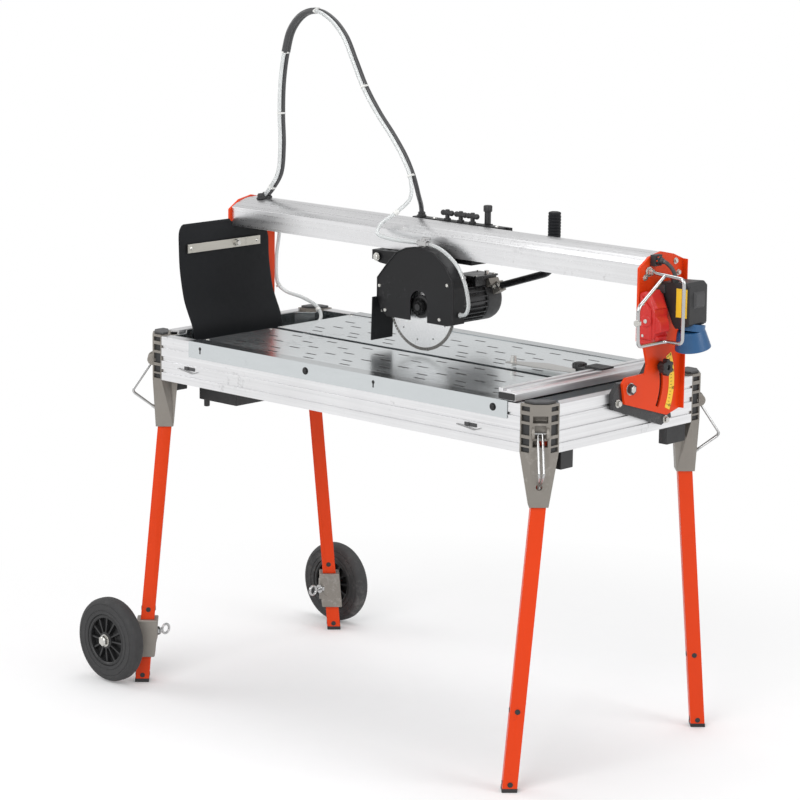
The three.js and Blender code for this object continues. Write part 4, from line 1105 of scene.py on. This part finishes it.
    def guard(self):
        bm = bmesh.new()
        run = [(626.4, 35, 1078), (722, 35, 1072), (722, 35, 934), (674, 35, 934), (674, -54, 933), (674, -57, 1016),
               (672, 33, 1074)]
        add_tube(bm, rounded(run, 12, 8), 4.0, 5)
        piece("guard_hoop", bm, "wire", "bridge", ["wire_guard"], angle=50)
        bm = bmesh.new()
        add_rod(bm, (626.3, 35, 1078), (629, 35, 1078), 11, 32)
        add_rod(bm, (628.6, 35, 1078), (635, 35, 1078), 8.4, 6)
        add_rod(bm, (634, 35, 1077.8), (640, 35, 1077.4), 6.2, 24)
        add_rod(bm, (674, -63, 984), (674, -53, 984), 7.4, 6)
        piece("guard_nuts", bm, "fastener", "bridge", bevel=0.5)


class TILE_SAW_OT_head(bpy.types.Operator):
    """Builds the carriage trim, motor, guard trim, blade, handle and water valve"""
    bl_idname = "tile_saw.head"
    bl_label = "Saw head"

    def execute(self, context):
        s = context.scene.tile_saw
        e = s.edge_radius * 1000
        dress("carriage", "black_paint", e)
        dress("blade_guard", "black_paint", e * 2.2, 25)
        dress("arbor", "dark_steel", e * 0.6)
        self.knobs()
        self.motor(s.fin_count)
        self.blade(s.rim_teeth)
        self.handle()
        self.valve()
        bm = bmesh.new()
        add_slab(bm, [(-99.2, -50, 946), (-95.6, -50, 946), (-96.6, -50, 900), (-98.6, -50, 846), (-102.2, -50, 846),
                      (-100.2, -50, 900)], (0, 70, 0))
        obj = piece("head_rubber", bm, "rubber", "head", ["head_flap"], bevel=0.8)
        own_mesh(obj)
        bm = bmesh.new()
        for x, z in ((118, 996), (-88, 972), (96, 916), (-70, 918)):
            add_rod(bm, (x, -35.8, z), (x, -38.6, z), 4.6, 24, 3.6)
        hex_bolt(bm, (-115, -18.6, 1033), (0, -1, 0), 7.6, 5.0, 9.4)
        for z in (938, 912):
            add_rod(bm, (-102.5, -20, z), (-95.0, -20, z), 3.6, 16)
        piece("guard_screws", bm, "fastener", "head", bevel=0.3)
        bm = bmesh.new()
        ring = [(-95, 944), (-95, 990), (-62, 1028), (-36, 1054), (-8, 1066), (20, 1071), (48, 1070), (76, 1062),
                (112, 1036), (132, 1008), (136, 990), (136, 908)]
        add_tube(bm, [Vector((x, -36.2, z)) for x, z in ring], 1.7, 3)
        piece("guard_rim", bm, "black_paint", "head", angle=50)
        return {"FINISHED"}

    def knobs(self):
        bm = bmesh.new()
        for x in (-52, -11, 25):
            add_rod(bm, (x, 150, 1107.6), (x, 150, 1112), 8.5, 6)
            add_rod(bm, (x, 150, 1110), (x, 150, 1121), 5.2, 24)
            add_rod(bm, (x - 13, 150, 1124), (x + 13, 150, 1124), 5.8, 24)
            for w in (-12.6, 12.6):
                add_ball(bm, (x + w, 150, 1124), 6.6, (1, 1, 1), 9)
            add_rod(bm, (x, 150, 1124), (x, 150, 1132), 6.2, 24, 4.8)
        add_turned(bm, [(0, 0), (9.6, 0), (10.2, 2), (10.2, 12), (9, 14.4), (0, 15)], (55, 168, 1136), (0, 0, 1), 36,
                   closed=False)
        add_rod(bm, (55, 168, 1108.2), (55, 168, 1138), 7.4, 28)
        add_turned(bm, [(5.7, 0), (11, 0), (11, 4), (8.6, 5), (8.6, 10), (5.7, 12)], (-132, 150, 1107.6), (0, 0, 1), 32)
        piece("carriage_knobs", bm, "black_plastic", "carriage", bevel=0.6, angle=45)
        bm = bmesh.new()
        add_rod(bm, (55, 168, 1026), (55, 168, 1137), 4.4, 24)
        for k in range(22):
            add_rod(bm, (55, 168, 1046 + 2.6 * k), (55, 168, 1047.4 + 2.6 * k), 4.9, 16)
        for x in (-140, -100, 100, 126):
            for z in (1054, 1094):
                hex_bolt(bm, (x, 162, z), (0, 1, 0), 5.0, 4.2, 7.0)
        for x in (-90, 100):
            add_rod(bm, (x, 148, 1107.8), (x, 148, 1110.2), 4.6, 24, 3.6)
        piece("carriage_bolts", bm, "fastener", "carriage", bevel=0.3)

    def motor(self, fins):
        ax, az = ARBOR
        bm = bmesh.new()
        add_turned(bm, [(14, 6.5), (44, 6.5), (49, 9), (50.5, 14), (50.5, 40), (47, 43), (45.5, 46), (45.5, 150),
                        (14, 150)], (ax, 0, az), (0, 1, 0), 72)
        for k in range(fins):
            a = 2 * math.pi * k / fins
            out = bmesh.ops.create_cube(bm, size=1.0, matrix=Matrix.Translation((0.0482, 0, 0)) @
                                        Matrix.Diagonal((0.0075, 0.108, 0.0028, 1)))
            place = Matrix.Translation(mm(ax, 97, az)) @ Matrix.Rotation(a, 4, "Y")
            bmesh.ops.transform(bm, matrix=place, verts=out["verts"])
        piece("motor_body", bm, "black_cast", "head", ["motor"], angle=40)
        bm = bmesh.new()
        add_turned(bm, [(30, 150), (49, 150), (52, 153), (52, 192), (50, 199), (44, 204), (38, 205.2), (38, 203),
                        (42, 201), (42, 199), (30, 199)], (ax, 0, az), (0, 1, 0), 72)
        for r in (12, 21, 30):
            add_turned(bm, [(r - 1.6, 198), (r + 1.6, 198), (r + 1.6, 202), (r - 1.6, 202)], (ax, 0, az), (0, 1, 0), 48)
        for k in range(6):
            a = math.radians(60 * k + 15)
            add_rod(bm, (ax + 3 * math.cos(a), 200, az + 3 * math.sin(a)),
                    (ax + 43 * math.cos(a), 200, az + 43 * math.sin(a)), 1.8, 10)
        add_rod(bm, (ax, 152, az), (ax, 197, az), 31, 36)
        piece("motor_fan_cover", bm, "black_plastic", "head", bevel=0.4, angle=40)
        bm = bmesh.new()
        add_box(bm, 8, 66, 118, 190, 970, 990)
        add_box(bm, 5.5, 68.5, 115.5, 192.5, 988.5, 993)
        add_box(bm, -10, 14, 6.5, 60, 972, 1008)
        piece("terminal_box", bm, "black_cast", "head", bevel=1.4)
        bm = bmesh.new()
        turn = Matrix.Rotation(-0.5, 4, "Y")
        bmesh.ops.create_cube(bm, size=1.0, matrix=Matrix.Translation(mm(78, 180, 963)) @ turn @
                              Matrix.Diagonal((0.028, 0.022, 0.024, 1)))
        bmesh.ops.create_cube(bm, size=1.0, matrix=Matrix.Translation(mm(68, 172, 975)) @ turn @
                              Matrix.Diagonal((0.018, 0.034, 0.016, 1)))
        piece("handle_clamp", bm, "casting", "head", bevel=1.6)
        bm = bmesh.new()
        for x, y in ((13, 123), (61, 123), (13, 185), (61, 185)):
            add_rod(bm, (x, y, 992.6), (x, y, 995), 3.6, 20, 2.8)
        hex_bolt(bm, (74, 169, 967), (0.1, -1, 0.1), 5.4, 5.0, 7.2)
        hex_bolt(bm, (88, 169, 972), (0.1, -1, 0.1), 4.4, 4.0, 6.0)
        add_rod(bm, (55, 168, 990), (55, 168, 1001), 5.6, 24)
        piece("motor_screws", bm, "fastener", "head", bevel=0.3)

    def blade(self, teeth):
        ax, az = ARBOR
        at = (ax, -15, az)
        bm = bmesh.new()
        add_turned(bm, [(13.2, -0.9), (93.2, -0.9), (93.2, 0.9), (13.2, 0.9)], at, (0, 1, 0), 128)
        piece("blade_disc", bm, "blade", "spindle", ["blade"], angle=30)
        bm = bmesh.new()
        step = 360 / teeth
        for k in range(teeth):
            out = bmesh.ops.create_cube(bm, size=1.0, matrix=Matrix.Translation((0.0963, 0, 0)) @
                                        Matrix.Diagonal((0.0072, 0.0025, 0.00125 * step, 1)))
            place = Matrix.Translation(mm(*at)) @ Matrix.Rotation(math.radians(step * k), 4, "Y")
            bmesh.ops.transform(bm, matrix=place, verts=out["verts"])
        piece("diamond_segments", bm, "diamond", "spindle")
        bm = bmesh.new()
        for k in range(10):
            a = math.radians(36 * k + 8)
            x, z = ax + 78 * math.cos(a), az + 78 * math.sin(a)
            add_rod(bm, (x, -16.05, z), (x, -13.95, z), 1.9, 16)
        piece("blade_holes", bm, "print_and_shade", "spindle")
        bm = bmesh.new()
        add_turned(bm, [(13.2, -7), (20, -7), (25.5, -4), (26.3, -1.5), (26.3, -1.2), (13.2, -1.2)], at, (0, 1, 0), 64)
        add_rod(bm, (ax, -31, az), (ax, -22.6, az), 14.6, 6)
        add_rod(bm, (ax, -33.6, az), (ax, -22, az), 7.6, 28)
        piece("blade_flange", bm, "dark_steel", "spindle", bevel=0.4)

    def handle(self):
        bm = bmesh.new()
        run = [(80, 180, 966), (228, 180, 1014), (243, 180, 1040), (243, 180, 1150)]
        add_tube(bm, rounded(run, 22, 10), 8.2, 6)
        piece("handle_bar", bm, "black_paint", "head", ["handle"], angle=50)
        bm = bmesh.new()
        grip = [(8.0, -72), (12.5, -72), (14.6, -69)]
        for k in range(9):
            z = -64 + 7 * k
            grip += [(14.2, z - 2), (14.6, z), (14.6, z + 3), (13.3, z + 4)]
        grip += [(14.4, 0), (13.6, 2.6), (10, 4), (8.0, 4)]
        add_turned(bm, grip, (243, 180, 1150), (0, 0, 1), 48)
        add_rod(bm, (243, 180, 1140), (243, 180, 1153.6), 8.6, 32)
        piece("handle_grip", bm, "rubber", "head", angle=40)

    def valve(self):
        bm = bmesh.new()
        add_box(bm, 18, 42, -27, -11, 1073.6, 1085)
        add_rod(bm, (12.4, -19, 1079), (20, -19, 1079), 7.2, 6)
        add_rod(bm, (40, -19, 1079), (47.5, -19, 1078.4), 7.2, 6)
        add_rod(bm, (30, -19, 1084), (30, -19, 1091), 5.2, 24)
        add_box(bm, 26.5, 50, -22.5, -15.5, 1090, 1093.6)
        add_rod(bm, (30, -19, 1069.5), (30, -19, 1074), 6.0, 24)
        piece("water_tap", bm, "wire", "head", ["water_valve"], bevel=0.8)
        bm = bmesh.new()
        run = flowing([(46, -19, 1078.6), (72, -19, 1074), (100, -19, 1062), (128, -19, 1042), (150, -19, 1012),
                       (162, -19, 980), (166, -19, 952), (158, -19, 934), (137.5, -19, 929)], 6)
        add_tube(bm, run, 4.3, 5)
        piece("guard_tube", bm, "clear", "head", angle=60)
        bm = bmesh.new()
        for at, n in (((149, -19, 1014), (0.45, 0, -0.9)), ((139.5, -19, 929.4), (1, 0, 0.2))):
            n = Vector(n).normalized() * 3
            add_rod(bm, Vector(at) - n, Vector(at) + n, 6.2, 24)
        piece("tube_collars", bm, "wire", "head", bevel=0.5)


class TILE_SAW_PT_panel(bpy.types.Panel):
    bl_idname = "TILE_SAW_PT_panel"
    bl_label = "Wet tile saw"
    bl_space_type = "VIEW_3D"
    bl_region_type = "UI"
    bl_category = "Tile saw"

    def draw(self, context):
        column = self.layout.column(align=True)
        for name in ("aluminium_color", "zinc_color", "paint_color", "edge_radius", "rim_teeth", "fin_count",
                     "floor_color", "key_power"):
            column.prop(context.scene.tile_saw, name)
        for step in STEPS:
            column.operator("tile_saw." + step)


STEPS = ("stage", "cords", "frame", "latches", "wheels", "table", "tilt", "bridge", "head")
CLASSES = (TileSawSettings, TILE_SAW_OT_stage, TILE_SAW_OT_cords, TILE_SAW_OT_frame, TILE_SAW_OT_latches,
           TILE_SAW_OT_wheels, TILE_SAW_OT_table, TILE_SAW_OT_tilt, TILE_SAW_OT_bridge, TILE_SAW_OT_head,
           TILE_SAW_PT_panel)


def register():
    for c in CLASSES:
        bpy.utils.register_class(c)
    bpy.types.Scene.tile_saw = PointerProperty(type=TileSawSettings)


def unregister():
    del bpy.types.Scene.tile_saw
    for c in reversed(CLASSES):
        bpy.utils.unregister_class(c)


def main():
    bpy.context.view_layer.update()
    register()
    MATERIALS.update(make_materials(bpy.context.scene.tile_saw))
    for step in STEPS:
        getattr(bpy.ops.tile_saw, step)()


if __name__ == "__main__":
    main()
